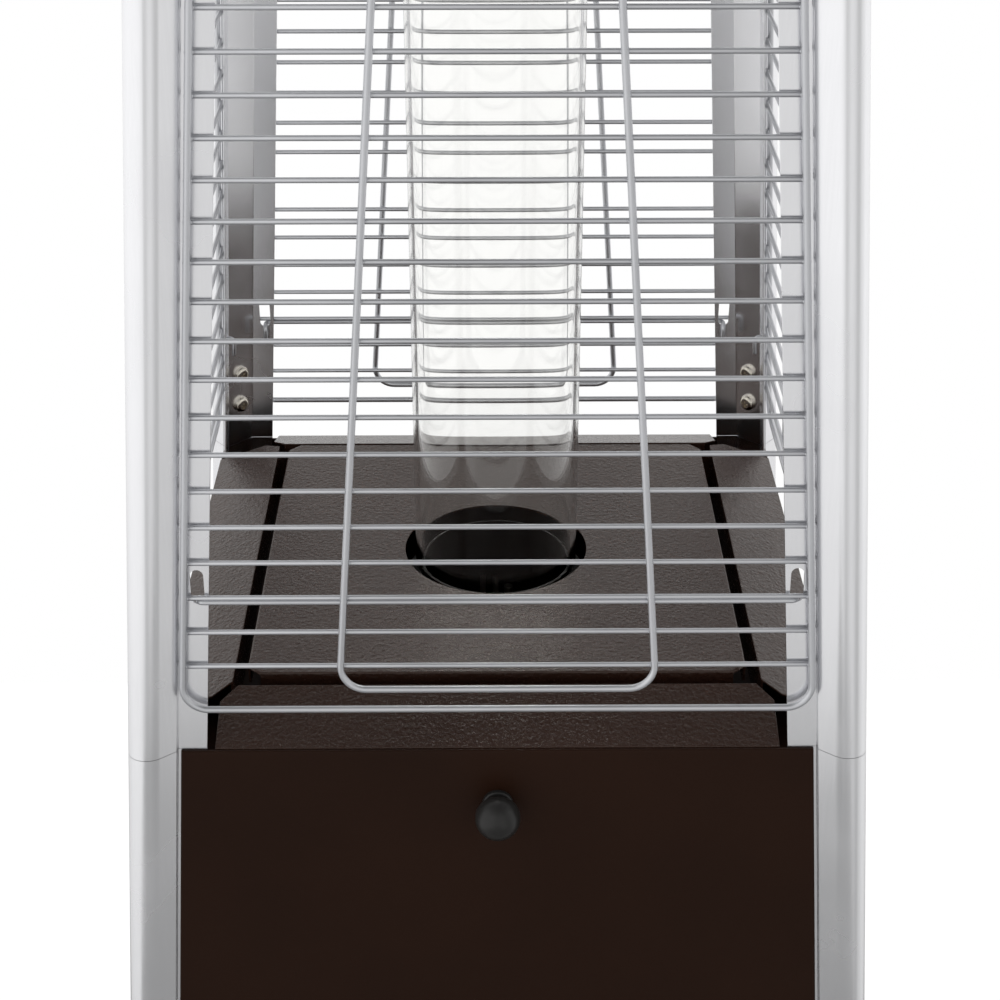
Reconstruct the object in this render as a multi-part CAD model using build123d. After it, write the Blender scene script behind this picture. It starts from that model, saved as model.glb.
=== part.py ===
from build123d import *
import os
from math import sqrt

# A four-legged patio heater, in millimetres. The origin is on the floor under the glass tube,
# +Z is up and the door faces -Y. The seam is the joint between the lower and the upper legs.
# Quarters count the faces anticlockwise from the front, and the corners from the front left.

# Stance
SEAM_HEIGHT = 760.0
TAPER_SHARE = 0.071
LEG_START = 15.0
UPPER_HEIGHT = 1240.0

# Clearances and sheet
FIT = 0.3
RUN_FIT = 0.05
OVERRUN = 20.0
SHEET = 1.2

# Leg section, measured along and across one arm from the square corner that encloses it
LEG_HALF = 211.5
LEG_WIDTH = 44.9
NOSE_END = 16.0
SLOPE_END = 27.8
SLOPE_DEPTH = 9.5
STEP_FOOT = 28.2
SET_BACK = 12.5
WALL = 1.5
INNER_LIP = 15.2
CORNER_RADIUS = 11.0
NOSE_RADIUS = 12.0
STEP_RADIUS = 0.8
LEG_SEAM_GAP = 0.3

# Leg connectors and the screws that hold them
CONNECTOR_REACH = 75.0
JOINT_SCREW_RISES = (33.0, 58.0)
BIG_SHANK_RADIUS = 3.0
BIG_SHANK_LENGTH = 12.0
BIG_HEAD_RADIUS = 6.0
BIG_HEAD_HEIGHT = 4.0

# Sheet-metal screws of the panels and the head plate
SMALL_SHANK_RADIUS = 2.0
SMALL_SHANK_LENGTH = 8.0
SMALL_HEAD_RADIUS = 4.0
SMALL_HEAD_HEIGHT = 2.2

# Wire guards and the slots that they hang in, measured up the face from the seam
FRAME_WIRE = 4.0
CROSS_WIRE = 3.0
WELD_SINK = 0.5
GUARD_START = 28.6
FIRST_STEP = 26.5
WIRE_STEP = 21.47
WIRE_COUNT = 52
GUARD_HALF = 180.5
GUARD_TAPER_SHARE = 0.075
GUARD_CORNER = 14.0
INNER_START = 41.4
INNER_HALF = 92.1
INNER_TAPER_SHARE = 0.074
HOOK_WIRES = (3, 50)
HOOK_DROP = 2.8
HOOK_PIN = 12.5
HOOK_INSIDE = 6.5
HOOK_BEND = 3.0
SLOT_WIDTH = 7.5
SLOT_LENGTH = 21.0
SLOT_FROM_EDGE = 6.5

# Foot caps and base pan
CAP_PLUG = 12.0
PAN_HEIGHT = 88.0
PAN_LIP = 20.0
PAN_SHEET = 1.5
RING_RADIUS = 107.0
RING_RISE = 18.0
VENT_RADIUS = 11.0
VENT_CIRCLE = 75.0
VENT_COUNT = 6

# Wheels and axle
WHEEL_RADIUS = 40.0
WHEEL_WIDTH = 22.0
WHEEL_LIFT = 2.0
WHEEL_BACK = 238.0
WHEEL_GAP = 1.0
TREAD_DEPTH = 9.0
TREAD_SHOULDER = 4.0
WHEEL_DISH = 6.0
HUB_RADIUS = 12.0
AXLE_RADIUS = 5.0
AXLE_HEAD = 9.0
AXLE_HEAD_WIDTH = 3.0
BRACKET_AT = 139.0
BRACKET_SHEET = 3.0
BRACKET_ROOT = 30.0
BRACKET_TAIL = 5.0
BRACKET_EYE = 11.0
BRACKET_FOOT = 12.0

# Panels
PANEL_GAP = 1.9
PANEL_DEPTH = 2.4
PANEL_SKIN = 1.0
PANEL_HEM = 10.0
PANEL_EDGE_RADIUS = 1.2
DOOR_DROP = 0.6
PANEL_DROP = 2.6
SIDE_PANEL_START = 60.0
REAR_PANEL_START = 100.0
CONTROL_HEIGHT = 150.0
PANEL_JOINT = 2.0
SCREW_IN = 20.0
SCREW_OVER = 8.5
LOUVRE_LENGTH = 110.0
LOUVRE_WIDTH = 7.0
LOUVRE_STEP = 18.0
LOUVRE_COUNT = 5
LOUVRE_RISE = 70.0

# Door, its inner frame, hinges, catch and pull
DOOR_START = 66.0
FRAME_HALF = 152.0
FRAME_DROP = 30.0
FRAME_START = 118.0
FRAME_DEPTH = 14.0
FRAME_BAR = 14.0
HINGE_HEIGHT = 62.0
HINGE_BEHIND = 3.0
HINGE_AT = 120.0
HINGE_PLATE = 3.0
HINGE_SIDE_GAP = 0.5
HINGE_EYE = 4.6
HINGE_PIN_RADIUS = 2.0
HINGE_PIN_HEAD = 3.4
HINGE_EAR_RISE = 13.0
HINGE_ARM_FRONT = 4.0
HINGE_ARM_BACK = 26.0
HINGE_ARM_FOOT = 3.0
STRIKE_HALF = 25.0
STRIKE_HEIGHT = 14.0
STRIKE_DEPTH = 3.0
STRIKE_DROP = 17.0
CATCH_DEPTH = 18.0
CATCH_OVER = 1.5
PULL_DROP = 36.0
PULL_BASE_RADIUS = 9.0
PULL_BASE_DEPTH = 3.0
PULL_NECK_RADIUS = 6.0
PULL_NECK_LENGTH = 6.0
PULL_HEAD_RADIUS = 13.0
PULL_HEAD_DEPTH = 19.0
PULL_UNDER_RADIUS = 5.5
PULL_DOME_RADIUS = 12.0
PULL_SCREW_RADIUS = 2.0
PULL_SCREW_GRIP = 12.0
PULL_SCREW_HEAD = 4.0
PULL_SCREW_HEAD_HEIGHT = 2.4

# Burner deck, heights measured from the seam
PLATE_HALF = 148.4
PLATE_TOP = 18.3
PLATE_SHEET = 1.5
PLATE_LIP = 12.0
PLATE_CORNER = 7.5
LIP_STOP = 0.6
LIP_BEND = 1.4
HOLE_RADIUS = 59.5
APRON_TOP_HALF = 156.3
APRON_TOP = 15.2
APRON_FOOT_HALF = 201.5
APRON_FALL_SHARE = 0.354
APRON_LIP_HALF = 198.0
APRON_HALF_WIDTH = 162.2
APRON_TOP_WIDTH = 152.4
APRON_CHAMFER = 11.5
TIE_TOP = 5.0
TIE_REACH = 5.0
RIM_TOP = -14.0
TRAY_HALF = 120.0
TRAY_DEPTH = 81.0
STAND_OFF_AT = 132.0
STAND_OFF_RADIUS = 4.0

# Glass tube and burner, heights measured from the seam
TUBE_RADIUS = 52.7
TUBE_WALL = 3.5
TUBE_ABOVE = 17.0
POT_RADIUS = 48.7
POT_WALL = 1.5
POT_COLLAR = 12.0
SEAT_RADIUS = 58.0
GASKET = 3.0
POT_FOOT_RADIUS = 60.0
AIR_HOLE_RADIUS = 6.0
AIR_HOLE_RISE = 14.0
AIR_HOLE_COUNT = 8
HEAD_RADIUS = 36.0
HEAD_FOOT = -62.0
HEAD_SIDE = 24.0
HEAD_CONE = 8.0
HEAD_WALL = 2.0
PORT_RADIUS = 1.6
PORT_COUNT = 24
PORT_RISE = 16.0
VENTURI_RADIUS = 12.5
VENTURI_WALL = 1.5
VENTURI_FOOT = -150.0
VENTURI_FLANGE = 22.0
VENTURI_GAP = 1.5
WINDOW_HEIGHT = 18.0
WINDOW_WIDTH = 12.0
JET_RADIUS = 4.9
JET_RISE = 8.0
JET_HEX = 8.0
JET_HEX_HEIGHT = 10.0
JET_TIP = 2.0
JET_ORIFICE_RADIUS = 0.8
SHIELD_DROP = 22.0
SHIELD_HALF = 114.0

# Gas valve, knob and ignition, on the control panel
CONTROL_AT = 60.0
CONTROL_DROP = 75.0
VALVE_WIDTH = 40.0
VALVE_HEIGHT = 44.0
VALVE_DEPTH = 34.0
VALVE_BACK = 8.0
BOSS_RADIUS = 9.0
PORT_SHIFT = 10.0
STEM_RADIUS = 4.0
STEM_INSIDE = 28.0
STEM_OUTSIDE = 24.0
STEM_TRAVEL = 4.0
STEM_END_ROOM = 1.0
STEM_HOLE_RADIUS = 6.0
KNOB_RADIUS = 21.0
KNOB_SKIRT = 6.0
KNOB_GRIP_RADIUS = 15.0
KNOB_DEPTH = 21.0
KNOB_EDGE = 2.0
KNOB_GAP = 0.8
POINTER_WIDTH = 3.0
POINTER_RISE = 1.0
INLET_RADIUS = 7.94
INLET_LENGTH = 16.0
INLET_HEX = 10.5
INLET_HEX_HEIGHT = 8.0
GAS_BORE = 3.0
PIPE_RADIUS = 4.0
PIPE_BEND = 16.0
PIPE_DROP = 18.0
PILOT_OUT = 41.6
PILOT_SPREAD = 9.0
PILOT_RADIUS = 3.0
PILOT_RISE = 58.0
PROBE_RADIUS = 2.0
PROBE_RISE = 66.0
LEAD_RADIUS = 1.6
LEAD_GAP = 0.5
LEAD_BEND = 7.0
LEAD_DROP = 9.0
LEAD_RETURN = 35.0
THERMOCOUPLE_DROP = 62.0
PILOT_PIPE_DROP = 88.0
LEAD_SHIFT = 9.0
IGNITER_RADIUS = 10.8
IGNITER_DEPTH = 40.0
BEZEL_RADIUS = 14.0
BEZEL_DEPTH = 2.6
BUTTON_RADIUS = 7.0
BUTTON_FIT = 0.08
BUTTON_OUT = 9.0
BUTTON_INSIDE = 14.0
BUTTON_TRAVEL = 6.0
BUTTON_EDGE = 1.5
TILT_WIDTH = 30.0
TILT_HEIGHT = 34.0
TILT_DEPTH = 18.0

# Head of the heater, heights measured from the top of the legs
HEAD_PLATE_SHEET = 1.5
HEAD_LIP = 18.0
HEAD_HOLE_GAP = 3.3
COLLAR_RADIUS = 62.0
COLLAR_HEIGHT = 6.0
SCREEN_RADIUS = 75.0
SCREEN_HEIGHT = 176.0
SCREEN_HOLE_RADIUS = 6.0
SCREEN_ROWS = 7
SCREEN_COLUMNS = 20
SCREEN_ROW_STEP = 22.0
SCREEN_FIRST_ROW = 22.0
STUD_AT = 80.0
STUD_RADIUS = 4.0
THREAD_RADIUS = 3.0
THREAD_LENGTH = 12.0
THREAD_HOLE_GAP = 0.2
REFLECTOR_HEIGHT = 250.0
REFLECTOR_FALL = 50.0
REFLECTOR_FLAT = 100.0
REFLECTOR_HALF = 280.0
REFLECTOR_LIP = 12.0
NUT_RADIUS = 6.0
NUT_HEIGHT = 8.0

# Worked out from the sizes above
SLOPE_SHARE = sqrt(1 + TAPER_SHARE**2)
LEG_SLOPE_SHARE = sqrt(1 + 2 * TAPER_SHARE**2)
LEG_TOP = SEAM_HEIGHT + UPPER_HEIGHT
TUBE_LENGTH = UPPER_HEIGHT + TUBE_ABOVE
WEB_SUM = LEG_WIDTH - INNER_LIP + SET_BACK + WALL
CROSS_OUT = CROSS_WIRE / 2 + FIT
FRAME_OUT = CROSS_OUT + CROSS_WIRE / 2 + FRAME_WIRE / 2 - WELD_SINK
TRAY_BOTTOM = RIM_TOP - TRAY_DEPTH
TRAY_FLOOR = TRAY_BOTTOM + SHEET
PANEL_BACK = PANEL_DEPTH - PANEL_SKIN
JET_FOOT = VENTURI_FOOT - JET_HEX_HEIGHT
PLATE_TOP_OF_HEAD = LEG_TOP + HEAD_PLATE_SHEET
ON_TOP = (Align.CENTER, Align.CENTER, Align.MIN)


def leg_half(height):
    """Middle of the heater to the outermost line of a leg, at a height above the floor."""
    return LEG_HALF - TAPER_SHARE * (height - SEAM_HEIGHT)


def face_half(height):
    """Middle of the heater to the outer face of the leg flanges."""
    return leg_half(height) - SET_BACK


def flange_edge(height):
    """Middle of a face to the inner edge of a leg flange."""
    return leg_half(height) - LEG_WIDTH


def height_at(rise):
    """Height above the floor of a place that lies this far up the face from the seam."""
    return SEAM_HEIGHT + rise / SLOPE_SHARE


def rise_to(height):
    """How far up the face from the seam a height lies."""
    return (height - SEAM_HEIGHT) * SLOPE_SHARE


# The front face, with x to the right, y up its slope from the seam and z outwards
FRONT = Plane(origin=(0, -face_half(SEAM_HEIGHT), SEAM_HEIGHT), x_dir=(1, 0, 0), z_dir=(0, -1, TAPER_SHARE))


def turned(shape, quarter):
    """A shape of the front face or front left corner, moved to another quarter."""
    return Rot(0, 0, 90 * quarter) * shape


def face_plane(quarter):
    """The plane of a face, laid out as FRONT is."""
    return Plane(Rot(0, 0, 90 * quarter) * FRONT.location)


REAR = face_plane(2)


def rounded(sketch, corners, radius):
    """A sketch with the corners nearest to the given points rounded."""
    picked = [sketch.vertices().sort_by_distance(Vector(*corner))[0] for corner in corners]
    return fillet(picked, radius)


def ring(outer, inner, low, high):
    """An upright ring about the middle of the heater, between two heights from the seam."""
    height = high - low
    solid = Cylinder(outer, height, align=ON_TOP) - Cylinder(inner, height, align=ON_TOP)
    return Pos(0, 0, SEAM_HEIGHT + low) * solid


def square(half, cut):
    """A square sketch with its corners cut off."""
    side = half - cut
    points = [(-side, -half), (side, -half), (half, -side), (half, side)]
    points += [(-u, -v) for u, v in points]
    return make_face(Polyline(*points, close=True))


def post(radius, low, high, x, y):
    """An upright round bar between two heights from the seam."""
    return Pos(x, y, SEAM_HEIGHT + low) * Cylinder(radius, high - low, align=ON_TOP)


def hexagon(radius, height):
    """A hexagonal prism standing on the origin, its radius measured over the corners."""
    return extrude(RegularPolygon(radius, 6), height)


def four(u, v):
    """A place in all four corners."""
    return [(u, v), (-v, u), (-u, -v), (v, -u)]


def swept(path, section):
    """A section carried along a path from its start."""
    start = Plane(origin=path @ 0, z_dir=path % 0)
    return sweep(start * section, path=path)


def pan_head_screw(shank_radius, shank_length, head_radius, head_height):
    """A screw with a domed cross-slotted head, pointing down, with the head's seat at the origin."""
    head = Cylinder(head_radius, head_height, align=ON_TOP)
    head = fillet(head.faces().sort_by(Axis.Z)[-1].edges(), head_height * 0.7)
    cross = Box(head_radius, head_radius / 6, head_height / 2, align=ON_TOP)
    cross = Pos(0, 0, head_height * 0.6) * (cross + Rot(0, 0, 90) * cross)
    shank = Pos(0, 0, -shank_length) * Cylinder(shank_radius, shank_length, align=ON_TOP)
    return head - cross + shank


def small_screw():
    return pan_head_screw(SMALL_SHANK_RADIUS, SMALL_SHANK_LENGTH, SMALL_HEAD_RADIUS, SMALL_HEAD_HEIGHT)


def small_hole():
    """What a small screw's shank needs, from its seat down."""
    reach = SMALL_SHANK_LENGTH + FIT
    bore = Cylinder(SMALL_SHANK_RADIUS + RUN_FIT, reach + FIT, align=ON_TOP)
    return Pos(0, 0, -reach) * bore


# Legs

def corner_outline():
    """The closed corner of the leg section, with its outer corner at the origin."""
    tip = WEB_SUM - SET_BACK
    arm = [(NOSE_END, 0), (SLOPE_END, SLOPE_DEPTH), (STEP_FOOT, SET_BACK), (tip, SET_BACK)]
    points = [(0, 0)] + arm + [(v, u) for u, v in reversed(arm)]
    outline = make_face(Polyline(*points, close=True))
    outline = rounded(outline, [(0, 0)], CORNER_RADIUS)
    outline = rounded(outline, [(NOSE_END, 0), (0, NOSE_END)], NOSE_RADIUS)
    return rounded(outline, [(SLOPE_END, SLOPE_DEPTH), (SLOPE_DEPTH, SLOPE_END)], STEP_RADIUS)


def leg_section():
    outline = corner_outline()
    flange = Pos(STEP_FOOT, SET_BACK) * Rectangle(LEG_WIDTH - STEP_FOOT, WALL, align=Align.MIN)
    other = Pos(SET_BACK, STEP_FOOT) * Rectangle(WALL, LEG_WIDTH - STEP_FOOT, align=Align.MIN)
    return outline - offset(outline, -WALL) + flange + other


def leaned(section, start, end):
    """A section drawn about the leg's outer corner, carried up the lean of the front left leg."""
    place = Pos(-leg_half(start), -leg_half(start), start)
    reach = (end - start) * LEG_SLOPE_SHARE
    return extrude(place * section, amount=reach, dir=(TAPER_SHARE, TAPER_SHARE, 1))


def web_plane(height):
    """The inner face of the front left leg's slanting web, facing the middle of the heater."""
    half = leg_half(height) - WEB_SUM / 2
    return Plane(origin=(-half, -half, height), x_dir=(1, -1, 0), z_dir=(1, 1, -2 * TAPER_SHARE))


def joint_heights(side):
    """Heights of the connector's screws above (1) or below (-1) the seam."""
    return [SEAM_HEIGHT + side * rise for rise in JOINT_SCREW_RISES]


def joint_holes(side):
    bore = Cylinder(BIG_SHANK_RADIUS + RUN_FIT, 2 * (BIG_SHANK_LENGTH + FIT))
    return [web_plane(height) * bore for height in joint_heights(side)]


def wire_rise(number):
    """How far up the face from the seam a cross wire lies. Number 0 is the frame's foot."""
    if number == 0:
        return GUARD_START
    return GUARD_START + FIRST_STEP + WIRE_STEP * (number - 1)


def rod_rise(number):
    return wire_rise(number) - HOOK_DROP


def slot_rise(number):
    """Middle of the slot whose lower end carries the hooked rod beside this cross wire."""
    return rod_rise(number) - CROSS_WIRE / 2 - FIT + SLOT_LENGTH / 2


def slot_out(number):
    """Middle of the face to the middle of a slot."""
    return flange_edge(height_at(slot_rise(number))) + SLOT_FROM_EDGE


def slot_cutters(side):
    """The front face's slots on the left (-1) or right (1)."""
    shape = extrude(SlotOverall(SLOT_LENGTH, SLOT_WIDTH, rotation=90), OVERRUN / 2, both=True)
    return [FRONT * Pos(side * slot_out(wire), slot_rise(wire), 0) * shape for wire in HOOK_WIRES]


def head_plate_half():
    """Middle of the heater to the inside of the head plate's lips."""
    return leg_half(LEG_TOP - HEAD_LIP) + FIT


def head_screw_places():
    """The head plate's two screws on the front face."""
    height = LEG_TOP - HEAD_LIP / 2
    out = leg_half(height) - (CORNER_RADIUS + NOSE_END) / 2
    seat = -head_plate_half() - HEAD_PLATE_SHEET
    return [Plane(origin=(x, seat, height), x_dir=(1, 0, 0), z_dir=(0, -1, 0)) for x in (-out, out)]


def upper_leg():
    """The front left upper leg."""
    leg = leaned(leg_section(), SEAM_HEIGHT + LEG_SEAM_GAP, LEG_TOP)
    left, right = head_screw_places()
    cutters = slot_cutters(-1) + [turned(cutter, 3) for cutter in slot_cutters(1)]
    cutters += joint_holes(1)
    cutters += [left * small_hole(), turned(right * small_hole(), 3)]
    return leg - cutters


def panel_screw_places():
    """Planes on the outer faces of the fixed panels, where their screws sit."""
    side_rises = (-SCREW_IN, rise_to(SIDE_PANEL_START) + SCREW_IN)
    rear_top = -CONTROL_HEIGHT - PANEL_JOINT
    rear_rises = (-SCREW_IN, SCREW_IN - CONTROL_HEIGHT)
    rear_rises += (rear_top - SCREW_IN, rise_to(REAR_PANEL_START) + SCREW_IN)
    places = []
    for quarter, rises in ((1, side_rises), (2, rear_rises), (3, side_rises)):
        for rise in rises:
            out = flange_edge(height_at(rise)) + SCREW_OVER
            places += [face_plane(quarter) * Pos(x, rise, PANEL_DEPTH) for x in (-out, out)]
    return places


def lower_leg(quarter):
    leg = leaned(leg_section(), LEG_START, SEAM_HEIGHT)
    leg = turned(leg - joint_holes(-1), quarter)
    return leg - [place * small_hole() for place in panel_screw_places()]


def leg_connector():
    """The front left bar that fills the leg's closed corner across the seam."""
    core = offset(corner_outline(), -WALL - FIT)
    bar = leaned(core, SEAM_HEIGHT - CONNECTOR_REACH, SEAM_HEIGHT + CONNECTOR_REACH)
    return bar - (joint_holes(-1) + joint_holes(1))


def leg_screws():
    screw = pan_head_screw(BIG_SHANK_RADIUS, BIG_SHANK_LENGTH, BIG_HEAD_RADIUS, BIG_HEAD_HEIGHT)
    heights = joint_heights(-1) + joint_heights(1)
    corner = [web_plane(height) * screw for height in heights]
    return [turned(screw, quarter) for quarter in range(4) for screw in corner]


def small_screws():
    """All the sheet-metal screws of the panels and the head plate."""
    panel = [place * small_screw() for place in panel_screw_places()]
    face = [place * small_screw() for place in head_screw_places()]
    return panel + [turned(screw, quarter) for quarter in range(4) for screw in face]


def foot_cap():
    """The front left foot: a cap under the leg with a plug inside it."""
    cap = leaned(corner_outline(), 0, LEG_START)
    plug = leaned(offset(corner_outline(), -WALL - FIT), LEG_START, LEG_START + CAP_PLUG)
    return cap + plug


# Guards

def guard():
    """The front guard: a bent frame, an inner frame, cross wires and two hooked rods."""
    top = wire_rise(WIRE_COUNT + 1)

    def outer_half(rise):
        return GUARD_HALF - GUARD_TAPER_SHARE * rise

    def inner_half(rise):
        return INNER_HALF - INNER_TAPER_SHARE * rise

    low, high = outer_half(GUARD_START), outer_half(top)
    corners = [(-low, GUARD_START), (low, GUARD_START), (high, top), (-high, top)]
    outer = FilletPolyline(*[(x, y, FRAME_OUT) for x, y in corners], radius=GUARD_CORNER, close=True)
    low, high = inner_half(INNER_START), inner_half(top)
    corners = [(-high, top), (-low, INNER_START), (low, INNER_START), (high, top)]
    inner = FilletPolyline(*[(x, y, FRAME_OUT) for x, y in corners], radius=GUARD_CORNER)
    wires = [swept(path, Circle(FRAME_WIRE / 2)) for path in (outer, inner)]
    for number in range(1, WIRE_COUNT + 1):
        rise = wire_rise(number)
        bar = Rot(0, 90, 0) * Cylinder(CROSS_WIRE / 2, 2 * outer_half(rise))
        wires.append(Pos(0, rise, CROSS_OUT) * bar)
    for number in HOOK_WIRES:
        out, rise = slot_out(number), rod_rise(number)
        half = [(out, rise, CROSS_OUT), (out, rise, -HOOK_INSIDE), (out, rise - HOOK_PIN, -HOOK_INSIDE)]
        points = [(-x, y, z) for x, y, z in reversed(half)] + half
        wires.append(swept(FilletPolyline(*points, radius=HOOK_BEND), Circle(CROSS_WIRE / 2)))
    return FRONT * wires[0].fuse(*wires[1:])


# Base

def fitted_square(height):
    """The square that fits between the legs at a height, with corners that clear their webs."""
    half = face_half(height) - WALL - FIT
    cut = 2 * half - (2 * leg_half(height) - WEB_SUM) + 2 * FIT
    return square(half, cut)


def base_pan():
    """The floor of the cabinet, with upturned lips, air holes and the ring for the gas cylinder."""
    outline = fitted_square(PAN_HEIGHT + PAN_LIP)
    pan = extrude(outline, PAN_SHEET) + extrude(outline - offset(outline, -PAN_SHEET), PAN_LIP)
    wall = Cylinder(RING_RADIUS, RING_RISE, align=ON_TOP)
    wall -= Cylinder(RING_RADIUS - PAN_SHEET, RING_RISE, align=ON_TOP)
    vent = Cylinder(VENT_RADIUS, OVERRUN)
    vents = [Rot(0, 0, 360 * n / VENT_COUNT) * Pos(VENT_CIRCLE, 0) * vent for n in range(VENT_COUNT)]
    return Pos(0, 0, PAN_HEIGHT) * (pan + wall - vents)


# Wheels and axle

WHEEL_HEIGHT = WHEEL_RADIUS + WHEEL_LIFT
WHEEL_START = BRACKET_AT + BRACKET_SHEET + WHEEL_GAP
AXLE_END = WHEEL_START + WHEEL_WIDTH + WHEEL_GAP


def axle_line(start, solid):
    """A solid of revolution about +Z, laid along the axle from a place on it towards +X."""
    return Pos(start, WHEEL_BACK, WHEEL_HEIGHT) * Rot(0, 90, 0) * solid


def mirrored(solid):
    return mirror(solid, about=Plane.YZ)


def wheel():
    """The right wheel: a tread with round shoulders and a disc dished on both sides."""
    disc = Cylinder(WHEEL_RADIUS, WHEEL_WIDTH, align=ON_TOP)
    disc = fillet(disc.edges().filter_by(GeomType.CIRCLE), TREAD_SHOULDER)
    dish = Cylinder(WHEEL_RADIUS - TREAD_DEPTH, WHEEL_DISH, align=ON_TOP)
    dish -= Cylinder(HUB_RADIUS, WHEEL_DISH, align=ON_TOP)
    disc -= dish + Pos(0, 0, WHEEL_WIDTH - WHEEL_DISH) * dish
    return axle_line(WHEEL_START, disc - Cylinder(AXLE_RADIUS + RUN_FIT, WHEEL_WIDTH, align=ON_TOP))


def axle():
    """The bar that both wheels turn on, with a head at each end."""
    bar = Rot(0, 90, 0) * Cylinder(AXLE_RADIUS, 2 * AXLE_END)
    head = Rot(0, 90, 0) * Cylinder(AXLE_HEAD, AXLE_HEAD_WIDTH, align=ON_TOP)
    head = Pos(AXLE_END, 0, 0) * head
    return Pos(0, WHEEL_BACK, WHEEL_HEIGHT) * (bar + head + mirrored(head))


def axle_bracket():
    """The right bracket: a plate under the pan with an eye for the axle."""
    front, back = WHEEL_BACK - BRACKET_ROOT, WHEEL_BACK + BRACKET_TAIL
    eye_sides = [(WHEEL_BACK + BRACKET_EYE, WHEEL_HEIGHT), (WHEEL_BACK - BRACKET_EYE, WHEEL_HEIGHT)]
    outline = make_face(Polyline((front, PAN_HEIGHT), (back, PAN_HEIGHT), *eye_sides, close=True))
    outline += Pos(WHEEL_BACK, WHEEL_HEIGHT) * Circle(BRACKET_EYE)
    outline -= Pos(WHEEL_BACK, WHEEL_HEIGHT) * Circle(AXLE_RADIUS + RUN_FIT)
    plate = Pos(BRACKET_AT, 0, 0) * extrude(Plane.YZ * outline, BRACKET_SHEET)
    foot = Box(BRACKET_FOOT, back - front, BRACKET_SHEET, align=(Align.MAX, Align.MIN, Align.MAX))
    return plate + Pos(BRACKET_AT + BRACKET_SHEET, front, PAN_HEIGHT) * foot


# Panels

def trapezoid(half, low, high):
    """A piece of a face between two rises, with the half width that half(rise) gives."""
    points = [(-half(low), low), (half(low), low), (half(high), high), (-half(high), high)]
    return make_face(Polyline(*points, close=True))


def panel_half(rise):
    return leg_half(height_at(rise)) - STEP_FOOT - PANEL_GAP


def face_panel(low, high):
    """A folded panel that lies on the flanges of its face, with rounded edges and hems."""
    outline = trapezoid(panel_half, low, high)
    slab = extrude(outline, PANEL_DEPTH)
    slab = fillet(slab.faces().sort_by(Axis.Z)[-1].edges(), PANEL_EDGE_RADIUS)
    return slab - extrude(offset(outline, -PANEL_HEM), PANEL_BACK)


def fixed_panel(quarter, low, high):
    panel = face_plane(quarter) * face_panel(low, high)
    return panel - [place * small_hole() for place in panel_screw_places()]


def side_panel(quarter):
    return fixed_panel(quarter, rise_to(SIDE_PANEL_START), -PANEL_DROP)


def rear_panel():
    top = -CONTROL_HEIGHT - PANEL_JOINT
    panel = fixed_panel(2, rise_to(REAR_PANEL_START), top)
    louvre = extrude(SlotOverall(LOUVRE_LENGTH, LOUVRE_WIDTH), OVERRUN, both=True)
    first = rise_to(REAR_PANEL_START) + LOUVRE_RISE
    return panel - [REAR * Pos(0, first + LOUVRE_STEP * n, 0) * louvre for n in range(LOUVRE_COUNT)]


def control_panel():
    panel = fixed_panel(2, -CONTROL_HEIGHT, -PANEL_DROP)
    holes = [(-CONTROL_AT, STEM_HOLE_RADIUS), (CONTROL_AT, IGNITER_RADIUS + FIT)]
    return panel - [REAR * Pos(x, -CONTROL_DROP, 0) * Cylinder(radius, OVERRUN) for x, radius in holes]


# Door

def door_panel():
    panel = face_panel(rise_to(DOOR_START), -DOOR_DROP)
    hole = Pos(0, -PULL_DROP, 0) * Cylinder(PULL_SCREW_RADIUS + RUN_FIT, OVERRUN)
    return FRONT * Pos(0, 0, FIT) * (panel - hole)


def door_frame():
    """A channel folded round the inside of the door, with the plate that the magnet holds."""
    low, high = rise_to(FRAME_START), -FRAME_DROP

    def half(rise):
        return FRAME_HALF + TAPER_SHARE * (high - rise)

    outline = trapezoid(half, low, high)
    bar = extrude(outline - offset(outline, -FRAME_BAR), FRAME_DEPTH)
    hollow = extrude(offset(outline, -SHEET) - offset(outline, SHEET - FRAME_BAR), FRAME_DEPTH)
    bar -= Pos(0, 0, SHEET) * hollow
    strike = Box(2 * STRIKE_HALF, STRIKE_HEIGHT, STRIKE_DEPTH, align=(Align.CENTER, Align.MAX, Align.MAX))
    bar += Pos(0, -STRIKE_DROP, FRAME_DEPTH) * strike
    return FRONT * Pos(0, 0, FIT + PANEL_BACK - FRAME_DEPTH) * bar


def magnet_catch():
    """The magnet under the tray's rim, just behind the door's strike plate."""
    front = FIT + PANEL_BACK - STRIKE_DEPTH - FIT
    height = FRAME_DROP - CATCH_OVER
    block = Box(2 * STRIKE_HALF, height, CATCH_DEPTH, align=(Align.CENTER, Align.MIN, Align.MAX))
    block = FRONT * Pos(0, -height, front) * block
    above = Box(2 * LEG_HALF, 2 * LEG_HALF, height, align=ON_TOP)
    return block - Pos(0, 0, SEAM_HEIGHT + RIM_TOP - SHEET) * above


HINGE_BACK = HINGE_BEHIND - face_half(HINGE_HEIGHT)


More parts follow.
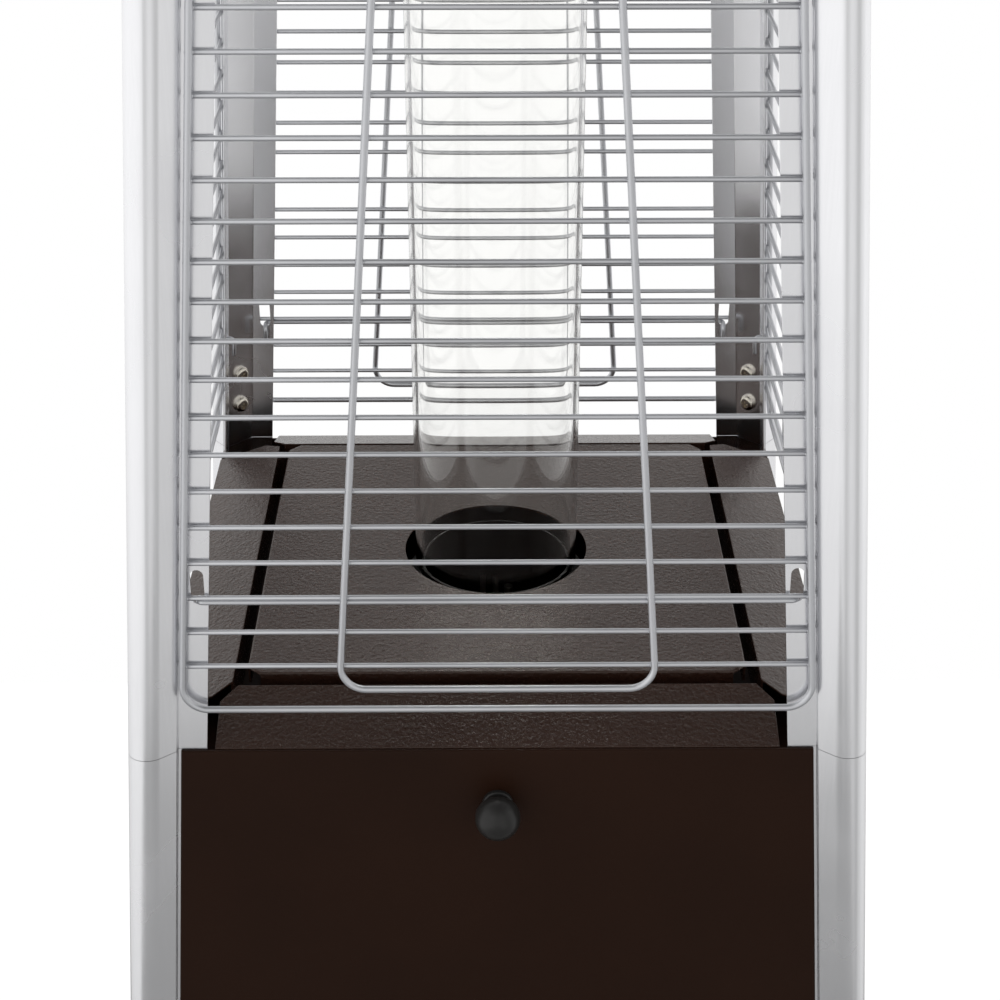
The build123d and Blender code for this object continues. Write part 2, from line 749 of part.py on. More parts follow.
def hinge_bracket():
    """The right bracket under the pan, with the hinge pin riveted into it."""
    arm = [
        (HINGE_BACK, HINGE_HEIGHT - HINGE_EYE),
        (HINGE_BACK + HINGE_ARM_BACK, PAN_HEIGHT - HINGE_ARM_FOOT),
        (HINGE_BACK + HINGE_ARM_BACK, PAN_HEIGHT),
        (HINGE_BACK + HINGE_ARM_FRONT, PAN_HEIGHT),
        (HINGE_BACK, HINGE_HEIGHT + HINGE_EYE),
    ]
    outline = make_face(Polyline(*arm, close=True)) + Pos(HINGE_BACK, HINGE_HEIGHT) * Circle(HINGE_EYE)
    plate = extrude(Plane.YZ * outline, HINGE_PLATE)
    reach = 2 * HINGE_PLATE + 2 * HINGE_SIDE_GAP
    pin = Cylinder(HINGE_PIN_RADIUS, reach, align=ON_TOP)
    pin += Pos(0, 0, reach) * Cylinder(HINGE_PIN_HEAD, HINGE_PLATE / 2, align=ON_TOP)
    pin = Pos(0, HINGE_BACK, HINGE_HEIGHT) * Rot(0, 90, 0) * pin
    return Pos(HINGE_AT, 0, 0) * (plate + pin)


def hinge_ear():
    """The right ear, on the door's back just outside its bracket, turning on the pin."""
    axis = FRONT.to_local_coords(Vector(0, HINGE_BACK, HINGE_HEIGHT))
    eye = Pos(axis.Y, axis.Z)
    rise = HINGE_EYE + HINGE_EAR_RISE
    width = FIT + HINGE_EYE - axis.Z
    flag = Pos(axis.Y, axis.Z - HINGE_EYE) * Rectangle(rise, width, align=Align.MIN)
    outline = flag + eye * Circle(HINGE_EYE) - eye * Circle(HINGE_PIN_RADIUS + RUN_FIT)
    start = HINGE_AT + HINGE_PLATE + HINGE_SIDE_GAP
    ear = Pos(start, 0, 0) * extrude(Plane.YZ * outline, HINGE_PLATE)
    return FRONT * ear


def pull_place():
    return FRONT * Pos(0, -PULL_DROP, FIT + PANEL_DEPTH)


def door_pull():
    """The round pull: a stepped base, a neck and a domed head, with a hole for its screw."""
    base = Cylinder(PULL_BASE_RADIUS, PULL_BASE_DEPTH, align=ON_TOP)
    base = fillet(base.faces().sort_by(Axis.Z)[-1].edges(), PULL_BASE_DEPTH / 2)
    neck = Cylinder(PULL_NECK_RADIUS, PULL_BASE_DEPTH + PULL_NECK_LENGTH, align=ON_TOP)
    head = Cylinder(PULL_HEAD_RADIUS, PULL_HEAD_DEPTH, align=ON_TOP)
    head = fillet(head.faces().sort_by(Axis.Z)[-1].edges(), PULL_DOME_RADIUS)
    head = fillet(head.faces().sort_by(Axis.Z)[0].edges(), PULL_UNDER_RADIUS)
    pull = base + neck + Pos(0, 0, PULL_BASE_DEPTH + PULL_NECK_LENGTH) * head
    hole = Cylinder(PULL_SCREW_RADIUS + RUN_FIT, PULL_SCREW_GRIP + FIT, align=ON_TOP)
    return pull_place() * (pull - hole)


def pull_screw():
    """The screw that holds the pull, through the door from behind."""
    head = Cylinder(PULL_SCREW_HEAD, PULL_SCREW_HEAD_HEIGHT, align=(Align.CENTER, Align.CENTER, Align.MAX))
    shank = Cylinder(PULL_SCREW_RADIUS, PANEL_SKIN + PULL_SCREW_GRIP, align=ON_TOP)
    return pull_place() * Pos(0, 0, -PANEL_SKIN) * (head + shank)


# Burner deck

def apron(foot_half):
    """The front apron, falling from the gap round the plate to its foot, with a skirt at each side."""
    thick = SHEET * sqrt(1 + APRON_FALL_SHARE**2)

    def top(half):
        return APRON_TOP - APRON_FALL_SHARE * (half - APRON_TOP_HALF)

    inner, outer, behind = APRON_TOP_HALF + SHEET, APRON_LIP_HALF, APRON_LIP_HALF - SHEET
    section = [(inner, RIM_TOP), (APRON_TOP_HALF, RIM_TOP), (APRON_TOP_HALF, APRON_TOP)]
    section += [(foot_half, top(foot_half)), (foot_half, top(foot_half) - thick)]
    section += [(outer, top(outer) - thick), (outer, RIM_TOP)]
    section += [(behind, RIM_TOP), (behind, top(behind) - thick), (inner, top(inner) - thick)]
    outline = make_face(Polyline(*[(-half, height) for half, height in section], close=True))
    solid = extrude(Plane.YZ * outline, APRON_HALF_WIDTH, both=True)
    outside = APRON_HALF_WIDTH + OVERRUN
    inside = OVERRUN - APRON_TOP_HALF
    chamfer_end = -APRON_TOP_HALF - APRON_CHAMFER
    corner = [
        (APRON_TOP_WIDTH, inside),
        (APRON_TOP_WIDTH, -APRON_TOP_HALF),
        (APRON_HALF_WIDTH, chamfer_end),
        (outside, chamfer_end),
        (outside, inside),
    ]
    cutter = extrude(make_face(Polyline(*corner, close=True)), 2 * OVERRUN, both=True)
    return solid - [cutter, mirrored(cutter)]


def apron_frame():
    """The four aprons tied at the corners. The front one ends behind the door, the others over the panels."""
    near, far = APRON_TOP_HALF - TIE_REACH, APRON_TOP_HALF
    step = SHEET / sqrt(2)
    tie = [(-near, -far), (-far, -near), (-far - step, -near - step), (-near - step, -far - step)]
    tie = Pos(0, 0, RIM_TOP) * extrude(make_face(Polyline(*tie, close=True)), TIE_TOP - RIM_TOP)
    pieces = [turned(tie, quarter) for quarter in range(4)]
    pieces += [turned(apron(APRON_FOOT_HALF), quarter) for quarter in range(1, 4)]
    return Pos(0, 0, SEAM_HEIGHT) * apron(face_half(SEAM_HEIGHT)).fuse(*pieces)


def lead_feet():
    """Where the electrode, the thermocouple and the pilot burner stand beside the burner head."""
    return [(-PILOT_SPREAD, PILOT_OUT), (0, PILOT_OUT), (PILOT_SPREAD, PILOT_OUT)]


def burner_tray():
    """The box that holds the burner, hung between the legs by its rim."""
    rim = extrude(fitted_square(SEAM_HEIGHT + RIM_TOP), -SHEET)
    box = extrude(square(TRAY_HALF, SHEET), -TRAY_DEPTH)
    inside = extrude(square(TRAY_HALF - SHEET, SHEET), SHEET - TRAY_DEPTH)
    tray = Pos(0, 0, SEAM_HEIGHT + RIM_TOP) * (rim + box - inside)
    holes = [(0, 0, VENTURI_RADIUS + RUN_FIT)] + [(x, y, LEAD_RADIUS + LEAD_GAP) for x, y in lead_feet()]
    floor = SEAM_HEIGHT + TRAY_BOTTOM
    return tray - [Pos(x, y, floor) * Cylinder(radius, OVERRUN) for x, y, radius in holes]


def burner_plate():
    """The square cover plate with folded lips and the hole that the glass tube passes through."""
    plate = extrude(square(PLATE_HALF, PLATE_CORNER), -PLATE_SHEET)
    length = 2 * (PLATE_HALF - PLATE_CORNER - LIP_STOP)
    lip = Box(length, PLATE_SHEET, PLATE_LIP, align=(Align.CENTER, Align.MIN, Align.MAX))
    lip = Pos(0, -PLATE_HALF, 0) * lip
    plate = plate.fuse(*[turned(lip, quarter) for quarter in range(4)])
    edges = plate.faces().sort_by(Axis.Z)[-1].edges()
    folds = [edge for edge in edges if edge.length > length]
    plate = fillet(folds, LIP_BEND) - Cylinder(HOLE_RADIUS, OVERRUN)
    return Pos(0, 0, SEAM_HEIGHT + PLATE_TOP) * plate


def plate_stand_offs():
    height = PLATE_TOP - PLATE_SHEET - RIM_TOP
    stand_off = Pos(0, 0, SEAM_HEIGHT + RIM_TOP) * hexagon(STAND_OFF_RADIUS, height)
    return [Pos(x, y, 0) * stand_off for x, y in four(STAND_OFF_AT, STAND_OFF_AT)]


# Burner and glass tube

def glass_tube():
    return ring(TUBE_RADIUS, TUBE_RADIUS - TUBE_WALL, 0, TUBE_LENGTH)


def tube_gasket():
    return ring(SEAT_RADIUS, POT_RADIUS + FIT, -GASKET, 0)


def burner_pot():
    """The can round the burner head, with the seat of the glass tube and a foot on the tray."""
    bore = POT_RADIUS - POT_WALL
    pot = ring(POT_RADIUS, bore, TRAY_FLOOR, POT_COLLAR)
    pot += ring(SEAT_RADIUS, bore, -GASKET - POT_WALL, -GASKET)
    pot += ring(POT_FOOT_RADIUS, bore, TRAY_FLOOR, TRAY_FLOOR + POT_WALL)
    hole = Pos(POT_RADIUS, 0, 0) * Rot(0, 90, 0) * Cylinder(AIR_HOLE_RADIUS, OVERRUN / 2)
    height = SEAM_HEIGHT + TRAY_FLOOR + AIR_HOLE_RISE
    turns = [360 * (n + 1 / 2) / AIR_HOLE_COUNT for n in range(AIR_HOLE_COUNT)]
    return pot - [Pos(0, 0, height) * Rot(0, 0, turn) * hole for turn in turns]


def burner_head():
    """A hollow cap with a ring of flame ports, standing on the venturi."""
    radius, side = HEAD_RADIUS - HEAD_WALL, HEAD_SIDE - HEAD_WALL
    cap = Cylinder(HEAD_RADIUS, HEAD_SIDE, align=ON_TOP)
    cap += Pos(0, 0, HEAD_SIDE) * Cone(HEAD_RADIUS, HEAD_RADIUS / 2, HEAD_CONE, align=ON_TOP)
    hollow = Cylinder(radius, side, align=ON_TOP)
    hollow += Pos(0, 0, side) * Cone(radius, radius / 2, HEAD_CONE, align=ON_TOP)
    cap -= Pos(0, 0, HEAD_WALL) * hollow
    cap -= Cylinder(VENTURI_RADIUS - VENTURI_WALL, HEAD_SIDE)
    port = Pos(HEAD_RADIUS, 0, PORT_RISE) * Rot(0, 90, 0) * Cylinder(PORT_RADIUS, 4 * HEAD_WALL)
    cap -= [Rot(0, 0, 360 * n / PORT_COUNT) * port for n in range(PORT_COUNT)]
    return Pos(0, 0, SEAM_HEIGHT + HEAD_FOOT) * cap


def venturi():
    """The mixing tube, with air windows at its foot and a flange on the tray's floor."""
    bore = VENTURI_RADIUS - VENTURI_WALL
    tube = ring(VENTURI_RADIUS, bore, VENTURI_FOOT, HEAD_FOOT)
    tube += ring(VENTURI_FLANGE, bore, TRAY_FLOOR, TRAY_FLOOR + VENTURI_WALL)
    tube += ring(VENTURI_RADIUS, JET_RADIUS + RUN_FIT, VENTURI_FOOT, VENTURI_FOOT + VENTURI_WALL)
    window = Box(2 * VENTURI_RADIUS + OVERRUN, WINDOW_WIDTH, WINDOW_HEIGHT, align=ON_TOP)
    return tube - Pos(0, 0, SEAM_HEIGHT + VENTURI_FOOT + 2 * VENTURI_WALL) * window


def gas_jet():
    """The brass jet in the foot of the venturi."""
    jet = hexagon(JET_HEX, JET_HEX_HEIGHT)
    jet += Pos(0, 0, JET_HEX_HEIGHT) * Cylinder(JET_RADIUS, JET_RISE, align=ON_TOP)
    jet -= Cylinder(GAS_BORE, JET_HEX_HEIGHT + JET_RISE - JET_TIP, align=ON_TOP)
    jet -= Cylinder(JET_ORIFICE_RADIUS, JET_HEX_HEIGHT + JET_RISE, align=ON_TOP)
    return Pos(0, 0, SEAM_HEIGHT + JET_FOOT) * jet


def heat_shield():
    """The sheet over the cylinder bay, folded up on two sides to the tray."""
    low = SEAM_HEIGHT + TRAY_BOTTOM - SHIELD_DROP
    floor = Box(2 * SHIELD_HALF, 2 * SHIELD_HALF, SHEET, align=ON_TOP)
    side = Box(SHEET, 2 * SHIELD_HALF, SHIELD_DROP, align=(Align.MAX, Align.CENTER, Align.MIN))
    side = Pos(SHIELD_HALF, 0, 0) * side
    shield = floor + side + mirrored(side) - Cylinder(VENTURI_RADIUS + VENTURI_GAP, OVERRUN)
    return Pos(0, 0, low) * shield


# Gas valve and ignition

def valve_place(x, rise, out):
    """A place on the rear face, given from the middle of the valve's stem."""
    return Pos(x - CONTROL_AT, rise - CONTROL_DROP, out)


def gas_valve():
    """The valve body, with a boss against the back of the control panel."""
    body = Box(VALVE_WIDTH, VALVE_HEIGHT, VALVE_DEPTH, align=(Align.CENTER, Align.CENTER, Align.MAX))
    body = Pos(0, 0, -VALVE_BACK) * body
    body += Pos(0, 0, -VALVE_BACK) * Cylinder(BOSS_RADIUS, VALVE_BACK + PANEL_BACK, align=ON_TOP)
    low = -STEM_INSIDE - STEM_TRAVEL - STEM_END_ROOM
    body -= Pos(0, 0, low) * Cylinder(STEM_RADIUS + RUN_FIT, PANEL_BACK - low, align=ON_TOP)
    return REAR * valve_place(0, 0, 0) * body


def valve_stem():
    stem = Pos(0, 0, -STEM_INSIDE) * Cylinder(STEM_RADIUS, STEM_INSIDE + STEM_OUTSIDE, align=ON_TOP)
    return REAR * valve_place(0, 0, 0) * stem


def control_knob():
    """The knob on the stem: a skirt, a grip and a raised pointer."""
    skirt = Cylinder(KNOB_RADIUS, KNOB_SKIRT, align=ON_TOP)
    skirt = fillet(skirt.faces().sort_by(Axis.Z)[-1].edges(), KNOB_EDGE)
    grip = Cylinder(KNOB_GRIP_RADIUS, KNOB_DEPTH, align=ON_TOP)
    grip = fillet(grip.faces().sort_by(Axis.Z)[-1].edges(), KNOB_EDGE)
    length, rise = KNOB_GRIP_RADIUS - KNOB_EDGE, POINTER_RISE + KNOB_EDGE
    pointer = Box(POINTER_WIDTH, length, rise, align=(Align.CENTER, Align.MIN, Align.MIN))
    knob = skirt + grip + Pos(0, 0, KNOB_DEPTH - KNOB_EDGE) * pointer
    start = PANEL_DEPTH + STEM_TRAVEL + KNOB_GAP
    knob -= Cylinder(STEM_RADIUS + RUN_FIT, STEM_OUTSIDE + FIT - start, align=ON_TOP)
    return REAR * valve_place(0, 0, start) * knob


def port_place(side):
    """The valve's lower face at its outlet (-1) or inlet (1), with z down the slope."""
    middle = -VALVE_BACK - VALVE_DEPTH / 2
    place = valve_place(side * PORT_SHIFT, -VALVE_HEIGHT / 2, middle)
    return REAR * place * Rot(90, 0, 0)


def gas_inlet():
    """The inlet fitting under the valve: a hexagon and a round flare nipple with its bore."""
    fitting = hexagon(INLET_HEX, INLET_HEX_HEIGHT)
    length = INLET_HEX_HEIGHT + INLET_LENGTH
    fitting += Cylinder(INLET_RADIUS, length, align=ON_TOP)
    return port_place(1) * (fitting - Cylinder(GAS_BORE, length, align=ON_TOP))


def gas_pipe():
    """The pipe from the jet, across under the heat shield and up to the valve's outlet."""
    outlet = port_place(-1)
    low = SEAM_HEIGHT + JET_FOOT - PIPE_DROP
    drop = outlet.position.Z - low
    points = [(0, 0, SEAM_HEIGHT + JET_FOOT), (0, 0, low), (outlet * Pos(0, 0, drop)).position]
    path = FilletPolyline(*points, outlet.position, radius=PIPE_BEND)
    return swept(path, Circle(PIPE_RADIUS) - Circle(GAS_BORE))


def lead(foot, x, drop, depth):
    """A thin tube from the tray's floor, under the tray and up to a place on the control side.

    The place is x across the rear face, drop below the seam and depth behind the face.
    """
    low = SEAM_HEIGHT + TRAY_BOTTOM - LEAD_DROP
    end = (REAR * Pos(x, -drop, -depth)).position
    turn = (REAR * Pos(x, -drop, -depth - LEAD_RETURN)).position
    points = [
        (*foot, SEAM_HEIGHT + TRAY_FLOOR),
        (*foot, low),
        (turn.X, turn.Y, low),
        turn,
        end,
    ]
    return swept(FilletPolyline(*points, radius=LEAD_BEND), Circle(LEAD_RADIUS))


def pilot_burner():
    """The pilot's upright tube with a flame slot near its top, and its pipe from the valve."""
    x, y = lead_feet()[2]
    tube = post(PILOT_RADIUS, TRAY_FLOOR, TRAY_FLOOR + PILOT_RISE, x, y)
    tube += lead((x, y), -CONTROL_AT - LEAD_SHIFT, PILOT_PIPE_DROP, VALVE_BACK + VALVE_DEPTH)
    slot = Box(PILOT_RADIUS, 4 * PILOT_RADIUS, PILOT_RADIUS, align=(Align.CENTER, Align.MAX, Align.MAX))
    return tube - Pos(x, y, SEAM_HEIGHT + TRAY_FLOOR + PILOT_RISE - PILOT_RADIUS) * slot


def thermocouple():
    """The probe beside the pilot, with its lead to the valve."""
    foot = lead_feet()[1]
    probe = post(PROBE_RADIUS, TRAY_FLOOR, TRAY_FLOOR + PROBE_RISE, *foot)
    return probe + lead(foot, -CONTROL_AT + LEAD_SHIFT, THERMOCOUPLE_DROP, VALVE_BACK + VALVE_DEPTH)


def spark_electrode():
    """The electrode beside the pilot, with its lead to the igniter."""
    foot = lead_feet()[0]
    probe = post(PROBE_RADIUS, TRAY_FLOOR, TRAY_FLOOR + PROBE_RISE, *foot)
    return probe + lead(foot, CONTROL_AT, CONTROL_DROP, IGNITER_DEPTH)


def igniter_place(out):
    return REAR * Pos(CONTROL_AT, -CONTROL_DROP, out)


def igniter_body():
    """The igniter's barrel behind the panel and its bezel in front, with the button's bore."""
    barrel = Cylinder(IGNITER_RADIUS, IGNITER_DEPTH + PANEL_DEPTH, align=ON_TOP)
    bezel = Cylinder(BEZEL_RADIUS, BEZEL_DEPTH, align=ON_TOP)
    bezel = fillet(bezel.faces().sort_by(Axis.Z)[-1].edges(), BEZEL_DEPTH / 2)
    body = Pos(0, 0, -IGNITER_DEPTH) * barrel + Pos(0, 0, PANEL_DEPTH) * bezel
    low = -BUTTON_INSIDE - BUTTON_TRAVEL - STEM_END_ROOM
    top = PANEL_DEPTH + BEZEL_DEPTH
    body -= Pos(0, 0, low) * Cylinder(BUTTON_RADIUS + BUTTON_FIT, top - low, align=ON_TOP)
    return igniter_place(0) * body


def igniter_button():
    length = BUTTON_INSIDE + PANEL_DEPTH + BEZEL_DEPTH + BUTTON_OUT
    button = Cylinder(BUTTON_RADIUS, length, align=ON_TOP)
    button = fillet(button.faces().sort_by(Axis.Z)[-1].edges(), BUTTON_EDGE)
    return igniter_place(-BUTTON_INSIDE) * button


def tilt_switch():
    """The tilt cut-out's box on the back of the control panel."""
    box = Box(TILT_WIDTH, TILT_HEIGHT, TILT_DEPTH, align=(Align.CENTER, Align.CENTER, Align.MAX))
    return REAR * Pos(0, -CONTROL_DROP, PANEL_BACK) * box


# Head

def head_plate():
    """The plate on top of the legs, with lips outside them and a hole for the glass tube."""
    half = head_plate_half() + HEAD_PLATE_SHEET
    plate = Box(2 * half, 2 * half, HEAD_LIP + HEAD_PLATE_SHEET, align=ON_TOP)
    plate = fillet(plate.edges().filter_by(Axis.Z), CORNER_RADIUS)
    inner = half - HEAD_PLATE_SHEET
    inside = Box(2 * inner, 2 * inner, HEAD_LIP, align=ON_TOP)
    inside = fillet(inside.edges().filter_by(Axis.Z), CORNER_RADIUS - HEAD_PLATE_SHEET)
    plate = Pos(0, 0, LEG_TOP - HEAD_LIP) * (plate - inside)
    plate -= Pos(0, 0, LEG_TOP) * Cylinder(TUBE_RADIUS + HEAD_HOLE_GAP, OVERRUN)
    holes = [place * small_hole() for place in head_screw_places()]
    return plate - [turned(hole, quarter) for quarter in range(4) for hole in holes]


def tube_collar():
    """The ring on the head plate that keeps the glass tube upright."""
    low = PLATE_TOP_OF_HEAD - SEAM_HEIGHT
    return ring(COLLAR_RADIUS, TUBE_RADIUS + FIT, low, low + COLLAR_HEIGHT)


def flame_screen():
    """The perforated can over the tube's mouth, closed by a lid."""
    low = PLATE_TOP_OF_HEAD - SEAM_HEIGHT
    top = low + SCREEN_HEIGHT
    can = ring(SCREEN_RADIUS, SCREEN_RADIUS - SHEET, low, top - SHEET)
    can += post(SCREEN_RADIUS, top - SHEET, top, 0, 0)
    hole = Pos(SCREEN_RADIUS, 0, 0) * Rot(0, 90, 0) * Cylinder(SCREEN_HOLE_RADIUS, OVERRUN)
    holes = []
    for row in range(SCREEN_ROWS):
        height = PLATE_TOP_OF_HEAD + SCREEN_FIRST_ROW + SCREEN_ROW_STEP * row
        for column in range(SCREEN_COLUMNS):
            turn = 360 * (column + row % 2 / 2) / SCREEN_COLUMNS
            holes.append(Pos(0, 0, height) * Rot(0, 0, turn) * hole)
    return can - holes


def reflector():
    """The square hipped reflector with a flat middle and a turned-down lip."""
    top = LEG_TOP + REFLECTOR_HEIGHT
    rim = top - REFLECTOR_FALL
    foot, flat = square_sketch(REFLECTOR_HALF), square_sketch(REFLECTOR_FLAT)
    roof = loft([Pos(0, 0, rim) * foot, Pos(0, 0, top) * flat])
    lip = square_sketch(REFLECTOR_HALF) - square_sketch(REFLECTOR_HALF - SHEET)
    roof = roof - Pos(0, 0, -SHEET) * roof
    roof += Pos(0, 0, rim - REFLECTOR_LIP) * extrude(lip, REFLECTOR_LIP)
    hole = Cylinder(THREAD_RADIUS + THREAD_HOLE_GAP, OVERRUN)
    return roof - [Pos(x, y, top) * hole for x, y in four(STUD_AT, STUD_AT)]


def square_sketch(half):
    return Rectangle(2 * half, 2 * half)


def reflector_studs():
    """Studs from the head plate, with a shoulder under the reflector and a thread above it."""
    shoulder = LEG_TOP + REFLECTOR_HEIGHT - SHEET
    stud = Cylinder(STUD_RADIUS, shoulder - PLATE_TOP_OF_HEAD, align=ON_TOP)
    stud += Cylinder(THREAD_RADIUS, shoulder - PLATE_TOP_OF_HEAD + THREAD_LENGTH, align=ON_TOP)
    return [Pos(x, y, PLATE_TOP_OF_HEAD) * stud for x, y in four(STUD_AT, STUD_AT)]


def reflector_nuts():
    top = LEG_TOP + REFLECTOR_HEIGHT
    nut = hexagon(NUT_RADIUS, NUT_HEIGHT) - Cylinder(THREAD_RADIUS + RUN_FIT, OVERRUN)
    return [Pos(x, y, top) * nut for x, y in four(STUD_AT, STUD_AT)]


CORNERS = ("front_left", "front_right", "rear_right", "rear_left")
FACES = ("front", "right", "rear", "left")


def model():
    """Every node's solids by name."""
    nodes = {}
    leg, wires = upper_leg(), guard()
    for quarter, corner in enumerate(CORNERS):
        nodes[f"upper_leg_{corner}"] = turned(leg, quarter)
        nodes[f"lower_leg_{corner}"] = lower_leg(quarter)
    for quarter, face in enumerate(FACES):
        nodes[f"guard_{face}"] = turned(wires, quarter)
    nodes["leg_connectors"] = [turned(leg_connector(), quarter) for quarter in range(4)]
    nodes["leg_screws"] = leg_screws()
    nodes["sheet_screws"] = small_screws()
    nodes["foot_caps"] = [turned(foot_cap(), quarter) for quarter in range(4)]
    nodes["base_pan"] = base_pan()
    nodes["axle"] = axle()
    nodes["axle_brackets"] = [axle_bracket(), mirrored(axle_bracket())]
    nodes["wheel_right"] = wheel()
    nodes["wheel_left"] = mirrored(wheel())
    nodes["side_panel_right"] = side_panel(1)
    nodes["side_panel_left"] = side_panel(3)
    nodes["rear_panel"] = rear_panel()
    nodes["control_panel"] = control_panel()
    nodes["door_panel"] = door_panel()
    nodes["door_frame"] = door_frame()
    nodes["magnet_catch"] = magnet_catch()
    nodes["hinge_brackets"] = [hinge_bracket(), mirrored(hinge_bracket())]
    nodes["hinge_ears"] = [hinge_ear(), mirrored(hinge_ear())]
    nodes["door_pull"] = door_pull()
    nodes["pull_screw"] = pull_screw()
    nodes["apron_frame"] = apron_frame()
    nodes["burner_tray"] = burner_tray()
    nodes["burner_plate"] = burner_plate()
    nodes["plate_stand_offs"] = plate_stand_offs()
    nodes["glass_tube"] = glass_tube()
    nodes["tube_gasket"] = tube_gasket()
    nodes["burner_pot"] = burner_pot()
    nodes["burner_head"] = burner_head()
    nodes["venturi"] = venturi()
    nodes["gas_jet"] = gas_jet()
    nodes["heat_shield"] = heat_shield()
    nodes["gas_valve"] = gas_valve()
    nodes["valve_stem"] = valve_stem()
    nodes["control_knob"] = control_knob()
    nodes["gas_inlet"] = gas_inlet()
    nodes["gas_pipe"] = gas_pipe()
    nodes["pilot_burner"] = pilot_burner()
    nodes["thermocouple"] = thermocouple()
    nodes["spark_electrode"] = spark_electrode()
    nodes["igniter_body"] = igniter_body()
    nodes["igniter_button"] = igniter_button()
    nodes["tilt_switch"] = tilt_switch()
    nodes["head_plate"] = head_plate()
    nodes["tube_collar"] = tube_collar()
    nodes["flame_screen"] = flame_screen()
    nodes["reflector"] = reflector()
    nodes["reflector_studs"] = reflector_studs()
    nodes["reflector_nuts"] = reflector_nuts()
    return nodes


os.makedirs("parts", exist_ok=True)
for name, shape in model().items():
    solids = shape if isinstance(shape, list) else [shape]
    whole = Compound(children=[solid for piece in solids for solid in piece.solids()])
    export_step(whole, f"parts/{name}.step")
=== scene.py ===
from math import cos, pi, radians, sin, sqrt, tan

import bmesh
import bpy
from mathutils import Euler, Matrix, Vector


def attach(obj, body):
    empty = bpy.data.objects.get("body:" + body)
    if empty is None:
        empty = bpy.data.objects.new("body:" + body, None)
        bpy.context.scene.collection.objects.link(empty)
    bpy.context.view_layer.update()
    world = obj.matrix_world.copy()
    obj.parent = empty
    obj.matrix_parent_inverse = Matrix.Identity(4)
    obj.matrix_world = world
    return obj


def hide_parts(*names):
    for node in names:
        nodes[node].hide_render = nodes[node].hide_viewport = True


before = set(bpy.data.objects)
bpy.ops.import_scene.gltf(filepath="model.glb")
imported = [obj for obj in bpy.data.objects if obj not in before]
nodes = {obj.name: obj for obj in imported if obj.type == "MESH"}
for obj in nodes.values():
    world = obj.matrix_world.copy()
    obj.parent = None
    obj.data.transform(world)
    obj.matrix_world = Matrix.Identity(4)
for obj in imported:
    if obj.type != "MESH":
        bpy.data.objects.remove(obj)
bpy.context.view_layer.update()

scene = bpy.context.scene
MM = 0.001

CORNERS = ("front_left", "front_right", "rear_right", "rear_left")
FACES = ("front", "right", "rear", "left")

# The heater's stance in mm: every leg and every face leans in by TAPER per mm of height
SEAM = 760.0
TAPER = 0.071
SLOPE = sqrt(1 + TAPER * TAPER)
LEG_HALF = 211.5
LEG_FOOT = 15.0
LEG_TOP = 2000.0
FIT = 0.3

# The legs' section: a corner tube with a rounded nose and a step, a web and two flanges
LEG_WIDTH = 44.9
SET_BACK = 12.5
WALL = 1.5
WEB_SUM = 43.7
NOSE_END = 16.0
SLOPE_END = 27.8
SLOPE_DEPTH = 9.5
STEP_FOOT = 28.2
CORNER_RADIUS = 11.0
NOSE_RADIUS = 12.0
STEP_RADIUS = 0.8
FOOT_RADIUS = 0.3
EDGE_RADIUS = 0.35
ROOT_RADIUS = 0.8
CHAMBER_STEP_RADIUS = 0.3
CHAMBER_WEB_RADIUS = 0.5

# The guards: a bent frame and an inner frame of thick wire, with thin wires across
WIRES = 52
WIRE_FIRST = 28.6
WIRE_NEXT = 26.5
WIRE_STEP = 21.47
WIRE_RADIUS = 1.5
WIRE_OUT = 1.8
WIRE_SIDES = 12
WIRE_PAST = 1.1
WIRE_DOME = 0.5
BAR_RADIUS = 2.0
BAR_OUT = 4.8
BAR_SIDES = 16
BAR_BEND = 14.0
BAR_BEND_STEPS = 10
FRAME_HALF = 180.5
FRAME_LEAN = 0.075
INNER_HALF = 92.1
INNER_LEAN = 0.074
INNER_START = 41.4

# The hooked rods behind two of the wires, and the slots in the flanges that they hang in
HOOK_WIRES = (3, 50)
HOOK_DROP = 2.8
HOOK_BACK = 6.5
HOOK_PIN = 12.5
HOOK_BEND = 3.0
HOOK_DOME = 0.4
SLOT_LENGTH = 21.0
SLOT_WIDTH = 7.5
SLOT_IN = 6.5
SLOT_STEPS = 12
SLOT_REACH = 10.0

# The weld beads where a wire crosses a bar
BEAD_WIDTH = 2.5
BEAD_HEIGHT = 1.9
BEAD_DEPTH = 1.15
BEAD_OUT = 3.2
BEAD_ROWS = 4
BEAD_SIDES = 8

# The cover plate and the lips folded down from it
PLATE_HALF = 148.4
PLATE_CORNER = 7.5
PLATE_TOP = SEAM + 18.3
PLATE_SHEET = 1.5
PLATE_FOLD = 1.35
HOLE_RADIUS = 59.5
HOLE_SIDES = 128
LIP_DEPTH = 12.0
LIP_STOP = 0.6
LIP_OVERLAP = 0.05

# The sloping aprons round the plate, and the ties across their corners
APRON_TOP_HALF = 156.3
APRON_TOP = 15.2
APRON_FALL = 0.354
APRON_SHEET = 1.2
APRON_LIP_HALF = 198.0
APRON_FOOT_HALF = 201.5
APRON_RIM = -14.0
APRON_HALF_LENGTH = 162.2
APRON_TOP_WIDTH = 152.4
APRON_CLIP = 11.5
APRON_FOLD = 0.8
APRON_EDGE = 0.3
CUTTER_OUT = 180.0
CUTTER_IN = 140.0
CUTTER_REACH = 60.0
TIE_NEAR = 151.3
TIE_TOP = 5.0

# The view, in metres and degrees
CAMERA_AT = (-0.0050, -1.1258, 1.4275)
CAMERA_DOWN = 28.615
CAMERA_RIGHT = 0.392
CAMERA_LENS = 71.03
CAMERA_SENSOR = 36
CAMERA_NEAR = 0.02
CAMERA_FAR = 100

